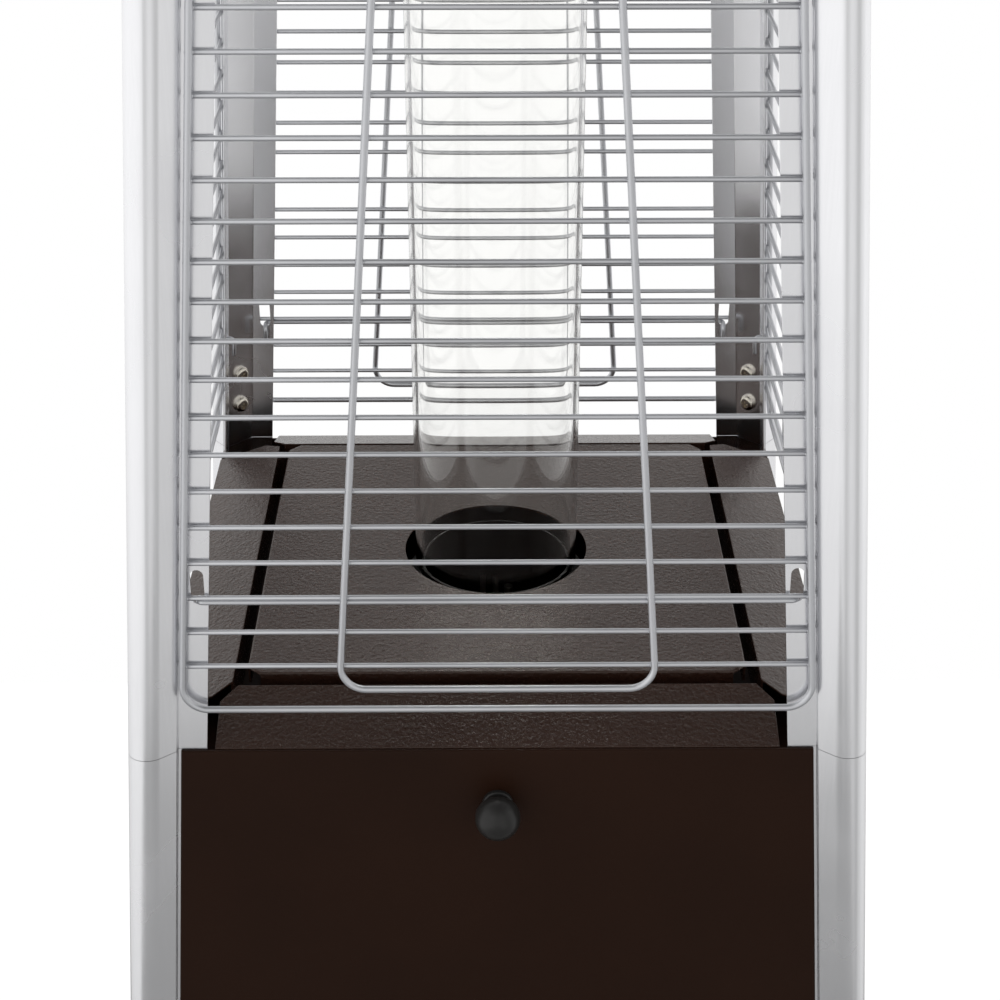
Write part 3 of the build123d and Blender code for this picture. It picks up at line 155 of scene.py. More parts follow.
# The studio, in metres: the floor, and what the walls and the ceiling send back
FLOOR_HALF = 0.8
FLOOR_FRONT = -1.75
FLOOR_REAR = 1.0
FLOOR_GREY = 0.42
FLOOR_GLOW = 0.72
WALL_LEVELS = (
    (0.0, 0.9), (0.25, 1.06), (0.43, 1.04), (0.467, 0.84), (0.492, 0.56), (0.522, 0.8), (0.57, 0.84),
    (0.625, 0.56), (0.658, 0.56), (0.683, 0.8), (0.722, 0.86), (0.76, 1.0), (1.0, 0.9),
)
HEIGHT_LEVELS = ((0.1, 0.5), (0.21, 0.7), (0.35, 1.0), (0.8, 1.0), (0.9, 0.6), (0.97, 0.25))


def leg_half(z):
    return LEG_HALF - TAPER * (z - SEAM)


def face_half(z):
    return leg_half(z) - SET_BACK


def height_at(rise):
    return SEAM + rise / SLOPE


# The front face's own frame: x to the right, y up the slope from the seam, z outwards
FRONT = Matrix((
    (1, 0, 0, 0),
    (0, TAPER / SLOPE, -1 / SLOPE, -face_half(SEAM)),
    (0, 1 / SLOPE, TAPER / SLOPE, SEAM),
    (0, 0, 0, 1)))


def quarter_turn(quarter):
    return Matrix.Rotation(radians(90 * quarter), 4, "Z")


# Mesh helpers, all lengths in mm

def make_object(name, verts, faces, matrix=None, smooth=35, material=None):
    matrix = matrix or Matrix.Identity(4)
    mesh = bpy.data.meshes.new(name)
    mesh.from_pydata([tuple((matrix @ Vector(v)) * MM) for v in verts], [], faces)
    bm = bmesh.new()
    bm.from_mesh(mesh)
    bmesh.ops.recalc_face_normals(bm, faces=bm.faces)
    bm.to_mesh(mesh)
    bm.free()
    obj = bpy.data.objects.new(name, mesh)
    scene.collection.objects.link(obj)
    shade(obj, smooth)
    if material:
        mesh.materials.append(material)
    return obj


def shade(obj, angle):
    """Smooth shading, with the edges above the angle kept sharp."""
    obj.data.shade_smooth()
    obj.data.set_sharp_from_angle(angle=radians(angle))


def weigh(obj):
    """Flat faces keep flat shading beside small rounds."""
    mod = obj.modifiers.new("weigh", "WEIGHTED_NORMAL")
    mod.keep_sharp = True
    mod.weight = 60
    return obj


def add_bevel(obj, width, segments, limit):
    mod = obj.modifiers.new("bevel", "BEVEL")
    mod.width = width * MM
    mod.segments = segments
    mod.limit_method = limit
    return mod


def settle(obj):
    """Make what the modifiers show the object's own mesh."""
    bpy.context.view_layer.update()
    depsgraph = bpy.context.evaluated_depsgraph_get()
    mesh = bpy.data.meshes.new_from_object(obj.evaluated_get(depsgraph))
    obj.modifiers.clear()
    old = obj.data
    obj.data = mesh
    bpy.data.meshes.remove(old)


def discard(obj):
    mesh = obj.data
    bpy.data.objects.remove(obj)
    bpy.data.meshes.remove(mesh)


def cut(obj, cutters):
    """Cut every cutter out of obj for good."""
    for cutter in cutters:
        mod = obj.modifiers.new("cut", "BOOLEAN")
        mod.operation = "DIFFERENCE"
        mod.solver = "EXACT"
        mod.object = cutter
    settle(obj)
    for cutter in cutters:
        discard(cutter)


def round_edges(obj, width, segments, chosen):
    """Round only the edges whose two ends, in mm, both pass the test."""
    mesh = obj.data
    weights = mesh.attributes.new("bevel_weight_edge", "FLOAT", "EDGE")
    for edge in mesh.edges:
        if all(chosen(mesh.vertices[i].co / MM) for i in edge.vertices):
            weights.data[edge.index].value = 1.0
    add_bevel(obj, width, segments, "WEIGHT")
    settle(obj)
    shade(obj, 50)


def join(name, objects):
    """One mesh from several, each already in place."""
    bm = bmesh.new()
    mats = []
    for obj in objects:
        for mat in obj.data.materials:
            if mat not in mats:
                mats.append(mat)
    for obj in objects:
        start = len(bm.faces)
        bm.from_mesh(obj.data)
        bm.faces.ensure_lookup_table()
        slots = [mats.index(mat) for mat in obj.data.materials]
        for face in bm.faces[start:]:
            face.material_index = slots[min(face.material_index, len(slots) - 1)]
    mesh = bpy.data.meshes.new(name)
    bm.to_mesh(mesh)
    bm.free()
    for mat in mats:
        mesh.materials.append(mat)
    for obj in objects:
        discard(obj)
    out = bpy.data.objects.new(name, mesh)
    scene.collection.objects.link(out)
    return out


def rounded(points, radii, steps=8, close=True):
    """A polyline through 2-D or 3-D points with its corners rounded."""
    out = []
    count = len(points)
    for i, point in enumerate(points):
        point = Vector(point)
        radius = radii[i] if isinstance(radii, list) else radii
        if not close and i in (0, count - 1):
            out.append(point)
            continue
        before = (Vector(points[i - 1]) - point).normalized()
        after = (Vector(points[(i + 1) % count]) - point).normalized()
        half = before.angle(after) / 2
        back = radius / tan(half)
        centre = point + (before + after).normalized() * (radius / sin(half))
        start, end = point + before * back - centre, point + after * back - centre
        turn = start.angle(end)
        for k in range(steps + 1):
            share = k / steps
            a = sin((1 - share) * turn) / sin(turn)
            b = sin(share * turn) / sin(turn)
            out.append(centre + start * a + end * b)
    return out


def moved_in(points, distance):
    """A counterclockwise outline with each edge moved in by the distance."""
    def inward(start, end):
        along = (Vector(end) - Vector(start)).normalized()
        return Vector((-along.y, along.x))

    out = []
    for i, point in enumerate(points):
        first = inward(points[i - 1], point)
        second = inward(point, points[(i + 1) % len(points)])
        out.append(Vector(point) + (first + second) * distance / (1 + first.dot(second)))
    return out


def prism(name, outline, low, high, matrix=None, lean=(0, 0), material=None, smooth=35, hole=None):
    """An outline in x and y carried from low to high. lean moves it sideways per unit of height."""
    verts, faces = [], []

    def loop(points, z):
        start = len(verts)
        verts.extend((p[0] + lean[0] * (z - low), p[1] + lean[1] * (z - low), z) for p in points)
        return list(range(start, start + len(points)))

    walls = [outline, hole] if hole else [outline]
    rings = [[loop(points, z) for z in (low, high)] for points in walls]
    for bottom, top in rings:
        n = len(bottom)
        faces += [(bottom[i], bottom[(i + 1) % n], top[(i + 1) % n], top[i]) for i in range(n)]
    if not hole:
        faces += [tuple(ring) for ring in rings[0]]
        return make_object(name, verts, faces, matrix, smooth, material)
    obj = make_object(name, verts, faces, matrix, smooth, material)
    bm = bmesh.new()
    bm.from_mesh(obj.data)
    bm.verts.ensure_lookup_table()
    for end in (0, 1):
        edges = []
        for ring in rings:
            around = [bm.verts[i] for i in ring[end]]
            edges += [bm.edges.get(pair) for pair in zip(around, around[1:] + around[:1])]
        bmesh.ops.triangle_fill(bm, use_beauty=True, use_dissolve=True, edges=edges)
    bmesh.ops.recalc_face_normals(bm, faces=bm.faces)
    bm.to_mesh(obj.data)
    bm.free()
    shade(obj, smooth)
    return obj


def tube_rings(points, radius, close):
    """For each point its place, the tube's direction, a steady sideways direction and a radius."""
    n = len(points)
    tangents = []
    for i in range(n):
        a = points[i - 1] if (i or close) else points[0]
        b = points[(i + 1) % n] if (i < n - 1 or close) else points[-1]
        tangents.append((b - a).normalized())
    normal = tangents[0].orthogonal().normalized()
    rings = []
    for i, (point, tangent) in enumerate(zip(points, tangents)):
        if i:
            turn = tangents[i - 1].rotation_difference(tangent)
            normal = (turn @ normal).normalized()
            normal = (normal - tangent * normal.dot(tangent)).normalized()
        rings.append((point, tangent, normal, radius))
    return rings


def domed(rings, dome):
    """The same rings with smaller ones past both ends, so that the ends are slightly round."""
    steps = (20, 45, 75)
    point, tangent, normal, radius = rings[0]
    head = [(point - tangent * dome * sin(radians(a)), tangent, normal, radius * cos(radians(a)))
            for a in reversed(steps)]
    point, tangent, normal, radius = rings[-1]
    tail = [(point + tangent * dome * sin(radians(a)), tangent, normal, radius * cos(radians(a)))
            for a in steps]
    return head + rings + tail


def tube(path, radius, sides, close=False, matrix=None, material=None, dome=0.0):
    """A round wire along a path of 3-D points."""
    rings = tube_rings([Vector(p) for p in path], radius, close)
    if dome:
        rings = domed(rings, dome)
    verts, faces = [], []
    for point, tangent, normal, r in rings:
        side = tangent.cross(normal)
        for k in range(sides):
            a = 2 * pi * k / sides
            verts.append(point + (normal * cos(a) + side * sin(a)) * r)
    count = len(rings)
    for i in range(count if close else count - 1):
        this, that = i * sides, (i + 1) % count * sides
        for k in range(sides):
            after = (k + 1) % sides
            faces.append((this + k, this + after, that + after, that + k))
    if not close:
        faces.append(tuple(range(sides)))
        faces.append(tuple((count - 1) * sides + k for k in range(sides)))
    return make_object("wire", verts, faces, matrix, 50, material)


# Materials

def new_material(name, color, rough=0.5, metal=0.0, **sockets):
    mat = bpy.data.materials.new(name)
    mat.use_nodes = True
    tree = mat.node_tree
    shader = tree.nodes["Principled BSDF"]
    shader.inputs["Base Color"].default_value = (*color, 1)
    shader.inputs["Roughness"].default_value = rough
    shader.inputs["Metallic"].default_value = metal
    for key, value in sockets.items():
        shader.inputs[key.replace("_", " ")].default_value = value
    return mat, tree, shader


def texture(tree, kind, stretch=(1, 1, 1), **values):
    coords = tree.nodes.new("ShaderNodeTexCoord")
    mapping = tree.nodes.new("ShaderNodeMapping")
    mapping.inputs["Scale"].default_value = stretch
    tree.links.new(coords.outputs["Object"], mapping.inputs["Vector"])
    node = tree.nodes.new(kind)
    tree.links.new(mapping.outputs["Vector"], node.inputs["Vector"])
    for key, value in values.items():
        node.inputs[key.replace("_", " ")].default_value = value
    return node


def noise(tree, scale, detail, stretch=(1, 1, 1), **values):
    return texture(tree, "ShaderNodeTexNoise", stretch, Scale=scale, Detail=detail, **values)


def ramp(tree, source, stops):
    node = tree.nodes.new("ShaderNodeValToRGB")
    while len(node.color_ramp.elements) < len(stops):
        node.color_ramp.elements.new(0.5)
    for element, (at, color) in zip(node.color_ramp.elements, stops):
        element.position = at
        element.color = (*color, 1)
    tree.links.new(source, node.inputs["Fac"])
    return node.outputs["Color"]


def span(tree, source, low, high, start, end):
    """Carry what lies between start and end over to between low and high."""
    node = tree.nodes.new("ShaderNodeMapRange")
    node.inputs["From Min"].default_value = start
    node.inputs["From Max"].default_value = end
    node.inputs["To Min"].default_value = low
    node.inputs["To Max"].default_value = high
    tree.links.new(source, node.inputs["Value"])
    return node.outputs["Result"]


def bump(tree, shader, source, strength, distance, after=None):
    node = tree.nodes.new("ShaderNodeBump")
    node.inputs["Strength"].default_value = strength
    node.inputs["Distance"].default_value = distance
    tree.links.new(source, node.inputs["Height"])
    if after:
        tree.links.new(after, node.inputs["Normal"])
    tree.links.new(node.outputs["Normal"], shader.inputs["Normal"])
    return node.outputs["Normal"]


def vary_rough(tree, shader, source, low, high, start=0.3, end=0.7):
    rough = span(tree, source, low, high, start, end)
    tree.links.new(rough, shader.inputs["Roughness"])


def vary_color(tree, shader, source, color, low, high, start=0.35, end=0.65):
    """Between low and high times the colour."""
    stops = [(at, tuple(min(1, c * share) for c in color)) for at, share in ((start, low), (end, high))]
    tree.links.new(ramp(tree, source, stops), shader.inputs["Base Color"])


def srgb(r, g, b):
    return tuple(c / 255 / 12.92 if c <= 10 else ((c / 255 + 0.055) / 1.055) ** 2.4 for c in (r, g, b))


def painted(name, color, rough, grain, depth, **sockets):
    """Textured paint: fine blobs in the film, and slight changes of colour and gloss."""
    mat, tree, shader = new_material(name, color, rough, **sockets)
    fine = noise(tree, grain, 3.0, Roughness=0.55, Distortion=0.6)
    cells = texture(tree, "ShaderNodeTexVoronoi", Scale=grain * 0.62)
    cells.feature = "SMOOTH_F1"
    cells.inputs["Smoothness"].default_value = 0.8
    first = bump(tree, shader, cells.outputs["Distance"], 0.55, depth * MM)
    bump(tree, shader, fine.outputs["Fac"], 0.7, depth * MM, after=first)
    cloud = noise(tree, 9.0, 4.0)
    vary_color(tree, shader, cloud.outputs["Fac"], color, 0.88, 1.12, 0.3, 0.7)
    vary_rough(tree, shader, fine.outputs["Fac"], rough * 0.75, rough * 1.25, 0.35, 0.65)
    return mat


def drawn_metal(name, color, rough, stretch=(900, 900, 12)):
    """Metal with fine lines drawn along one direction."""
    mat, tree, shader = new_material(name, color, rough, 1.0)
    lines = noise(tree, 1.0, 2.0, stretch)
    cloud = noise(tree, 14.0, 3.0)
    bump(tree, shader, lines.outputs["Fac"], 0.15, 0.004 * MM)
    vary_rough(tree, shader, cloud.outputs["Fac"], rough * 0.8, rough * 1.2)
    vary_color(tree, shader, lines.outputs["Fac"], color, 0.98, 1.0, 0.3, 0.7)
    return mat


def sheet_metal(name, color, rough, grain=60.0, depth=0.02):
    """Plain plated or cast metal with faint clouds."""
    mat, tree, shader = new_material(name, color, rough, 1.0)
    cloud = noise(tree, grain, 5.0)
    fine = noise(tree, grain * 12, 2.0)
    bump(tree, shader, fine.outputs["Fac"], 0.3, depth * MM)
    vary_rough(tree, shader, cloud.outputs["Fac"], rough * 0.8, rough * 1.25)
    vary_color(tree, shader, cloud.outputs["Fac"], color, 0.88, 1.06)
    return mat


def moulded(name, color, rough, grain=1400.0, depth=0.02, **sockets):
    """Plastic, rubber or fibre with a fine grain."""
    mat, tree, shader = new_material(name, color, rough, **sockets)
    fine = noise(tree, grain, 2.0)
    cloud = noise(tree, 30.0, 3.0)
    bump(tree, shader, fine.outputs["Fac"], 0.4, depth * MM)
    vary_rough(tree, shader, cloud.outputs["Fac"], rough * 0.85, rough * 1.15)
    vary_color(tree, shader, cloud.outputs["Fac"], color, 0.9, 1.1)
    return mat


def clear_glass(name):
    """Clear glass with faint smears along its length."""
    mat, tree, shader = new_material(name, (0.995, 0.995, 0.985), 0.015, IOR=1.47, Transmission_Weight=1.0)
    smear = noise(tree, 1.0, 3.0, (30, 30, 4))
    bump(tree, shader, smear.outputs["Fac"], 0.04, 0.05 * MM)
    vary_rough(tree, shader, smear.outputs["Fac"], 0.0, 0.03, 0.3, 0.8)
    return mat


DECK = painted("deck_paint", srgb(47, 29, 22), 0.22, 600.0, 0.75, Specular_IOR_Level=0.48,
               Specular_Tint=(1.0, 0.9, 0.82, 1.0))
DOOR = painted("door_paint", srgb(38, 21, 12), 0.5, 1500.0, 0.035, Specular_IOR_Level=0.1)
LEG = drawn_metal("leg_metal", srgb(242, 242, 244), 0.25)
WIRE = sheet_metal("wire_metal", srgb(208, 209, 212), 0.38, grain=8.0, depth=0.0004)
ZINC = sheet_metal("zinc_steel", srgb(178, 179, 182), 0.36)
BURNER = sheet_metal("burner_steel", srgb(118, 112, 106), 0.42)
POT = sheet_metal("pot_steel", srgb(34, 33, 32), 0.4)
CHROME = sheet_metal("bright_plating", srgb(214, 208, 196), 0.12, depth=0.004)
BRASS = sheet_metal("brass", srgb(205, 165, 92), 0.3)
CAST = sheet_metal("cast_metal", srgb(140, 142, 146), 0.5, depth=0.05)
PIPE = sheet_metal("pipe_metal", srgb(190, 192, 196), 0.3)
BLACK = moulded("black_plastic", srgb(28, 28, 29), 0.45)
GLOSS = moulded("gloss_plastic", srgb(24, 24, 25), 0.18, depth=0.005)
PULL = moulded("pull_plastic", srgb(36, 35, 34), 0.32, depth=0.008, Specular_IOR_Level=0.3)
FIBRE = moulded("gasket_fibre", srgb(70, 68, 66), 0.9, grain=2500.0, depth=0.08)
SLEEVE = moulded("lead_sleeve", srgb(52, 40, 38), 0.6)
RUBBER = moulded("wheel_plastic", srgb(34, 34, 35), 0.55)
BRIGHT = drawn_metal("reflector_metal", srgb(190, 190, 192), 0.3, stretch=(500, 6, 500))
GLASS = clear_glass("tube_glass")

node_material = {
    "leg_connectors": ZINC, "leg_screws": CHROME, "sheet_screws": CHROME, "foot_caps": BLACK,
    "base_pan": DOOR, "axle": ZINC, "axle_brackets": ZINC, "wheel_right": RUBBER, "wheel_left": RUBBER,
    "side_panel_right": DOOR, "side_panel_left": DOOR, "rear_panel": DOOR, "control_panel": DOOR,
    "door_panel": DOOR, "door_frame": ZINC, "magnet_catch": BLACK, "hinge_brackets": ZINC,
    "hinge_ears": ZINC, "door_pull": PULL, "pull_screw": CHROME, "apron_frame": DECK,
    # The plate's stand-offs are zinc, but they get the dark door paint: painted shade for the shaded gap
    # at the plate's corners
    "burner_tray": DOOR, "burner_plate": DECK, "plate_stand_offs": DOOR, "glass_tube": GLASS,
    "tube_gasket": FIBRE, "burner_pot": POT, "burner_head": BURNER, "venturi": BURNER,
    "gas_jet": BRASS, "heat_shield": ZINC, "gas_valve": CAST, "valve_stem": ZINC,
    "control_knob": BLACK, "gas_inlet": BRASS, "gas_pipe": PIPE, "pilot_burner": BURNER,
    "thermocouple": BURNER, "spark_electrode": SLEEVE, "igniter_body": GLOSS,
    "igniter_button": GLOSS, "tilt_switch": BLACK, "head_plate": DOOR, "tube_collar": ZINC,
    "flame_screen": BURNER, "reflector": BRIGHT, "reflector_studs": ZINC, "reflector_nuts": CHROME,
}
for corner in CORNERS:
    node_material["upper_leg_" + corner] = LEG
    node_material["lower_leg_" + corner] = LEG
for face in FACES:
    node_material["guard_" + face] = WIRE
for name, obj in nodes.items():
    obj.data.materials.clear()
    obj.data.materials.append(node_material[name])


def stand_for(piece, body, replaced):
    """A finer mesh in place of a node."""
    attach(piece, body)
    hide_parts(replaced)


# Legs

def mirrored(points):
    return [(v, u) for u, v in reversed(points)]


def leg_outline():
    """The outside of the section. Both arms are alike, one along x and one along y."""
    arm = [(LEG_WIDTH, SET_BACK), (STEP_FOOT, SET_BACK), (SLOPE_END, SLOPE_DEPTH), (NOSE_END, 0.0)]
    inside = SET_BACK + WALL
    back = [(WEB_SUM - inside, inside), (LEG_WIDTH, inside)]
    arm_radii = [EDGE_RADIUS, FOOT_RADIUS, STEP_RADIUS, NOSE_RADIUS]
    back_radii = [ROOT_RADIUS, EDGE_RADIUS]
    points = arm + [(0.0, 0.0)] + mirrored(arm) + mirrored(back) + back
    radii = arm_radii + [CORNER_RADIUS] + arm_radii[::-1] + back_radii[::-1] + back_radii
    return rounded(points, radii)


def chamber_outline():
    """The corner tube's outline, with the web across it, moved in by the wall."""
    step = (STEP_FOOT - SLOPE_END) / (SET_BACK - SLOPE_DEPTH)
    web_y = (WEB_SUM - SLOPE_END + step * SLOPE_DEPTH) / (1 + step)
    arm = [(NOSE_END, 0.0), (SLOPE_END, SLOPE_DEPTH), (WEB_SUM - web_y, web_y)]
    arm_radii = [NOSE_RADIUS - WALL, CHAMBER_STEP_RADIUS, CHAMBER_WEB_RADIUS]
    points = moved_in([(0.0, 0.0)] + arm + mirrored(arm), WALL)
    return rounded(points, [CORNER_RADIUS - WALL] + arm_radii + arm_radii[::-1])


def leg(name, quarter, low, high):
    place = quarter_turn(quarter) @ Matrix.Translation((-leg_half(low), -leg_half(low), 0))
    return prism(name, leg_outline(), low, high, place, (TAPER, TAPER), LEG, hole=chamber_outline())


def wire_rise(number):
    """How far up the slope a wire lies: 0 is the frame's lower bar, 1 the first wire across."""
    return WIRE_FIRST + (WIRE_NEXT + WIRE_STEP * (number - 1) if number else 0)


def rod_rise(number):
    return wire_rise(number) - HOOK_DROP


def slot_rise(number):
    """The middle of the slot in which the rod below a wire rests."""
    return rod_rise(number) - WIRE_RADIUS - FIT + SLOT_LENGTH / 2


def slot_out(number):
    return leg_half(height_at(slot_rise(number))) - LEG_WIDTH + SLOT_IN


def slot_cutter(side, number, quarter):
    radius = SLOT_WIDTH / 2
    outline = []
    for k in range(SLOT_STEPS + 1):
        a = pi * k / SLOT_STEPS
        outline.append((radius * cos(a), SLOT_LENGTH / 2 - radius + radius * sin(a)))
    outline += [(-x, -y) for x, y in outline]
    place = FRONT @ Matrix.Translation((side * slot_out(number), slot_rise(number), 0))
    return prism("slot", outline, -SLOT_REACH, SLOT_REACH, quarter_turn(quarter) @ place)


for quarter, corner in enumerate(CORNERS):
    upper = leg("leg_upper_" + corner, quarter, SEAM + FIT, LEG_TOP)
    left = [slot_cutter(-1, number, quarter) for number in HOOK_WIRES]
    right = [slot_cutter(1, number, quarter + 3) for number in HOOK_WIRES]
    cut(upper, left + right)
    lower = leg("leg_lower_" + corner, quarter, LEG_FOOT, SEAM)
    for half, piece in (("upper", upper), ("lower", lower)):
        shade(piece, 30)
        weigh(piece)
        stand_for(piece, "frame", half + "_leg_" + corner)


# Guards

def frame_half(rise):
    return FRAME_HALF - FRAME_LEAN * rise


def inner_half(rise):
    return INNER_HALF - INNER_LEAN * rise


def weld_beads(place):
    verts, quads = [], []
    for number in range(1, WIRES + 1):
        rise = wire_rise(number)
        for x in (-frame_half(rise), -inner_half(rise), inner_half(rise), frame_half(rise)):
            start = len(verts)
            for k in range(BEAD_ROWS + 1):
                a = -pi / 2 + pi * k / BEAD_ROWS
                for m in range(BEAD_SIDES):
                    b = 2 * pi * m / BEAD_SIDES
                    verts.append((x + BEAD_WIDTH * cos(a) * cos(b), rise + BEAD_HEIGHT * sin(a),
                                  BEAD_OUT + BEAD_DEPTH * cos(a) * sin(b)))
            for k in range(BEAD_ROWS):
                p, q = start + k * BEAD_SIDES, start + (k + 1) * BEAD_SIDES
                for m in range(BEAD_SIDES):
                    after = (m + 1) % BEAD_SIDES
                    quads.append((p + m, p + after, q + after, q + m))
    return make_object("beads", verts, quads, place, 60, WIRE)


def bent_bars(place):
    """The frame round the guard, and the inner frame that is open at its top."""
    top = wire_rise(WIRES + 1)
    low_half, top_half = frame_half(WIRE_FIRST), frame_half(top)
    loop = [(-low_half, WIRE_FIRST, BAR_OUT), (low_half, WIRE_FIRST, BAR_OUT),
            (top_half, top, BAR_OUT), (-top_half, top, BAR_OUT)]
    low_half, top_half = inner_half(INNER_START), inner_half(top)
    bend = [(-top_half, top, BAR_OUT), (-low_half, INNER_START, BAR_OUT),
            (low_half, INNER_START, BAR_OUT), (top_half, top, BAR_OUT)]
    bars = []
    for points, close in ((loop, True), (bend, False)):
        path = rounded(points, BAR_BEND, BAR_BEND_STEPS, close)
        bars.append(tube(path, BAR_RADIUS, BAR_SIDES, close, place, WIRE))
    return bars


def cross_wire(number, place):
    rise = wire_rise(number)
    reach = frame_half(rise) + WIRE_PAST
    path = [(-reach, rise, WIRE_OUT), (reach, rise, WIRE_OUT)]
    return tube(path, WIRE_RADIUS, WIRE_SIDES, False, place, WIRE, WIRE_DOME)


def hooked_rod(number, place):
    x, rise = slot_out(number), rod_rise(number)
    half = [(x, rise, WIRE_OUT), (x, rise, -HOOK_BACK), (x, rise - HOOK_PIN, -HOOK_BACK)]
    points = [(-a, b, c) for a, b, c in reversed(half)] + half
    path = rounded(points, HOOK_BEND, close=False)
    return tube(path, WIRE_RADIUS, WIRE_SIDES, False, place, WIRE, HOOK_DOME)


def guard(name, quarter):
    place = quarter_turn(quarter) @ FRONT
    parts = bent_bars(place)
    parts += [cross_wire(number, place) for number in range(1, WIRES + 1)]
    parts += [hooked_rod(number, place) for number in HOOK_WIRES]
    parts.append(weld_beads(place))
    return join(name, parts)


for quarter, face in enumerate(FACES):
    stand_for(guard("wires_" + face, quarter), "guard_" + face, "guard_" + face)


# The deck: cover plate and aprons

def plate():
    half, near, top = PLATE_HALF, PLATE_HALF - PLATE_CORNER, PLATE_TOP
    outline = [(near, -half), (half, -near), (half, near), (near, half),
               (-near, half), (-half, near), (-half, -near), (-near, -half)]
    turns = [2 * pi * k / HOLE_SIDES for k in range(HOLE_SIDES)]
    hole = [(HOLE_RADIUS * cos(a), HOLE_RADIUS * sin(a)) for a in turns]
    sheet = prism("plate", outline, top - PLATE_SHEET, top, material=DECK, smooth=50, hole=hole)

    def is_rim(v):
        return v.z > top - 0.1 and max(abs(v.x), abs(v.y)) > near - 0.1

    round_edges(sheet, PLATE_FOLD, 5, is_rim)
    parts = [sheet]
    end, back = near - LIP_STOP, -half + PLATE_SHEET
    lip = [(-end, -half), (end, -half), (end, back), (-end, back)]
    for quarter in range(4):
        parts.append(prism("lip", lip, top - LIP_DEPTH, top - PLATE_SHEET + LIP_OVERLAP,
                           quarter_turn(quarter), material=DECK))
    return join("cover_plate", parts)


def apron_section(foot):
    """Across one apron: out from the middle, and up from the seam."""
    inner, outer, sheet = APRON_TOP_HALF, APRON_LIP_HALF, APRON_SHEET
    thick = sheet * sqrt(1 + APRON_FALL * APRON_FALL)

    def top(half):
        return APRON_TOP - APRON_FALL * (half - inner)

    return [(inner + sheet, APRON_RIM), (inner, APRON_RIM), (inner, APRON_TOP), (foot, top(foot)),
            (foot, top(foot) - thick), (outer, top(outer) - thick), (outer, APRON_RIM),
            (outer - sheet, APRON_RIM), (outer - sheet, top(outer - sheet) - thick),
            (inner + sheet, top(inner + sheet) - thick)]


def corner_cutter(side):
    """What is clipped off one end of an apron, beside the leg."""
    clip = -APRON_TOP_HALF - APRON_CLIP
    points = [(APRON_TOP_WIDTH, -CUTTER_IN), (APRON_TOP_WIDTH, -APRON_TOP_HALF),
              (APRON_HALF_LENGTH, clip), (CUTTER_OUT, clip), (CUTTER_OUT, -CUTTER_IN)]
    return prism("corner", [(side * x, y) for x, y in points], SEAM - CUTTER_REACH, SEAM + CUTTER_REACH)


def apron(quarter, foot):
    place = Matrix(((0, 0, 1, 0), (-1, 0, 0, 0), (0, 1, 0, SEAM), (0, 0, 0, 1)))
    body = prism("apron", apron_section(foot), -APRON_HALF_LENGTH, APRON_HALF_LENGTH, place, material=DECK)
    cut(body, [corner_cutter(side) for side in (-1, 1)])

    def is_ridge(v):
        return abs(v.y + APRON_TOP_HALF) < 0.1 and v.z > SEAM + APRON_TOP - 0.1

    round_edges(body, APRON_FOLD, 4, is_ridge)
    add_bevel(body, APRON_EDGE, 2, "ANGLE").angle_limit = radians(50)
    body.data.transform(quarter_turn(quarter))
    settle(body)
    return body


def aprons():
    parts = [apron(0, face_half(SEAM))] + [apron(quarter, APRON_FOOT_HALF) for quarter in (1, 2, 3)]
    near, far, step = TIE_NEAR, APRON_TOP_HALF, APRON_SHEET / sqrt(2)
    tie = [(-near, -far), (-far, -near), (-far - step, -near - step), (-near - step, -far - step)]
    for quarter in range(4):
        parts.append(prism("tie", tie, SEAM + APRON_RIM, SEAM + TIE_TOP, quarter_turn(quarter),
                           material=DECK))
    return join("deck_aprons", parts)


stand_for(weigh(plate()), "frame", "burner_plate")
stand_for(weigh(aprons()), "frame", "apron_frame")


# Camera, floor and light

camera = bpy.data.objects.new("camera", bpy.data.cameras.new("camera"))
scene.collection.objects.link(camera)
camera.location = CAMERA_AT
camera.rotation_euler = Euler((radians(90 - CAMERA_DOWN), 0, radians(-CAMERA_RIGHT)), "XYZ")
camera.data.sensor_width = CAMERA_SENSOR
camera.data.lens = CAMERA_LENS
camera.data.clip_start = CAMERA_NEAR
camera.data.clip_end = CAMERA_FAR
scene.camera = camera


def calculate(tree, operation, *values):
    """A maths node on links and plain numbers."""
    node = tree.nodes.new("ShaderNodeMath")
    node.operation = operation
    for socket, value in zip(node.inputs, values):
        if isinstance(value, float):
            socket.default_value = value
        else:
            tree.links.new(value, socket)
    return node


def seen_straight(tree):
    """1 for what the camera sees directly or through glass, 0 for light and reflections."""
    path = tree.nodes.new("ShaderNodeLightPath")
    both = calculate(tree, "ADD", path.outputs["Is Camera Ray"], path.outputs["Is Transmission Ray"])
    both.use_clamp = True
    return both.outputs[0]


def add_floor():
    low, high = (-FLOOR_HALF, FLOOR_FRONT), (FLOOR_HALF, FLOOR_REAR)
    verts = [(low[0], low[1], 0), (high[0], low[1], 0), (high[0], high[1], 0), (low[0], high[1], 0)]
    mesh = bpy.data.meshes.new("floor")
    mesh.from_pydata(verts, [], [(0, 1, 2, 3)])
    floor = bpy.data.objects.new("floor", mesh)
    scene.collection.objects.link(floor)
    mat, tree, shader = new_material("floor_white", (FLOOR_GREY, FLOOR_GREY, FLOOR_GREY), 0.9)
    shader.inputs["Specular IOR Level"].default_value = 0.1
    shader.inputs["Emission Color"].default_value = (1, 1, 1, 1)
    glow = calculate(tree, "MULTIPLY", seen_straight(tree), FLOOR_GLOW)
    tree.links.new(glow.outputs[0], shader.inputs["Emission Strength"])
    mesh.materials.append(mat)


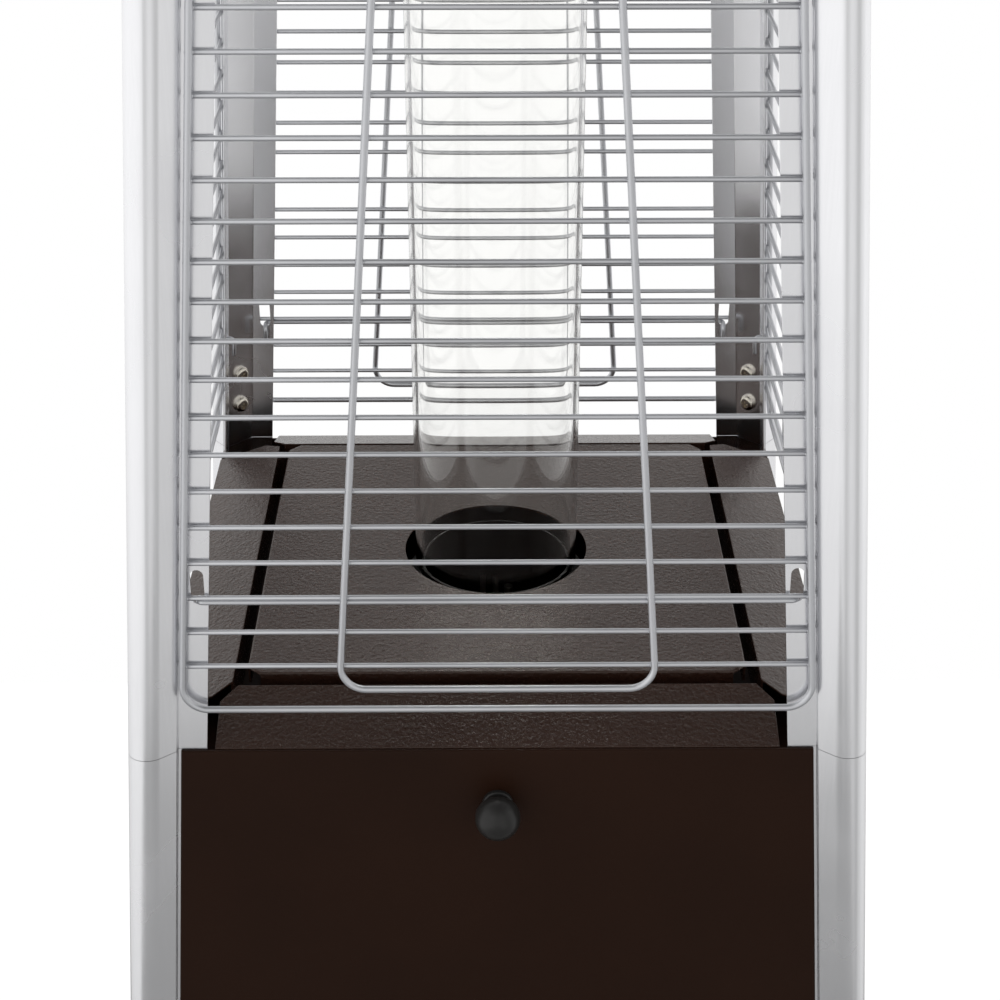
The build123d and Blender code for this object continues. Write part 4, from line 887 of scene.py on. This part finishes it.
def greys(levels):
    return [(at, (level, level, level)) for at, level in levels]


def add_studio():
    world = bpy.data.worlds.new("studio")
    scene.world = world
    world.use_nodes = True
    tree = world.node_tree
    tree.nodes.clear()
    coords = tree.nodes.new("ShaderNodeTexCoord")
    split = tree.nodes.new("ShaderNodeSeparateXYZ")
    tree.links.new(coords.outputs["Generated"], split.inputs[0])
    forwards = calculate(tree, "MULTIPLY", split.outputs["Y"], -1.0)
    turn = calculate(tree, "ARCTAN2", split.outputs["X"], forwards.outputs[0])
    # the walls, from behind the heater round by its left, its front and its right
    walls = ramp(tree, span(tree, turn.outputs[0], 0.0, 1.0, -pi, pi), greys(WALL_LEVELS))
    # from the floor up to the ceiling, which is darker
    rising = ramp(tree, span(tree, split.outputs["Z"], 0.0, 1.0, -1.0, 1.0), greys(HEIGHT_LEVELS))
    strength = tree.nodes.new("ShaderNodeMix")
    tree.links.new(seen_straight(tree), strength.inputs["Factor"])
    tree.links.new(calculate(tree, "MULTIPLY", walls, rising).outputs[0], strength.inputs[2])
    strength.inputs[3].default_value = 1.0
    background = tree.nodes.new("ShaderNodeBackground")
    background.inputs["Color"].default_value = (1, 1, 1, 1)
    tree.links.new(strength.outputs[0], background.inputs["Strength"])
    output = tree.nodes.new("ShaderNodeOutputWorld")
    tree.links.new(background.outputs[0], output.inputs["Surface"])


def softbox(name, at, aim, size, power):
    data = bpy.data.lights.new(name, "AREA")
    data.shape = "RECTANGLE"
    data.size, data.size_y = size
    data.energy = power
    obj = bpy.data.objects.new(name, data)
    scene.collection.objects.link(obj)
    obj.location = at
    obj.rotation_euler = (Vector(aim) - Vector(at)).to_track_quat("-Z", "Y").to_euler()
    obj.visible_glossy = False


add_floor()
add_studio()
softbox("rear", (0.3, 2.9, 3.3), (0, 0, 0.8), (2.6, 1.6), 24)
softbox("left", (-3.2, -0.6, 2.4), (0, 0, 0.9), (1.4, 2.6), 20)
softbox("right", (3.0, -0.4, 2.2), (0, 0, 0.9), (1.4, 2.6), 16)

scene.view_settings.view_transform = "Standard"
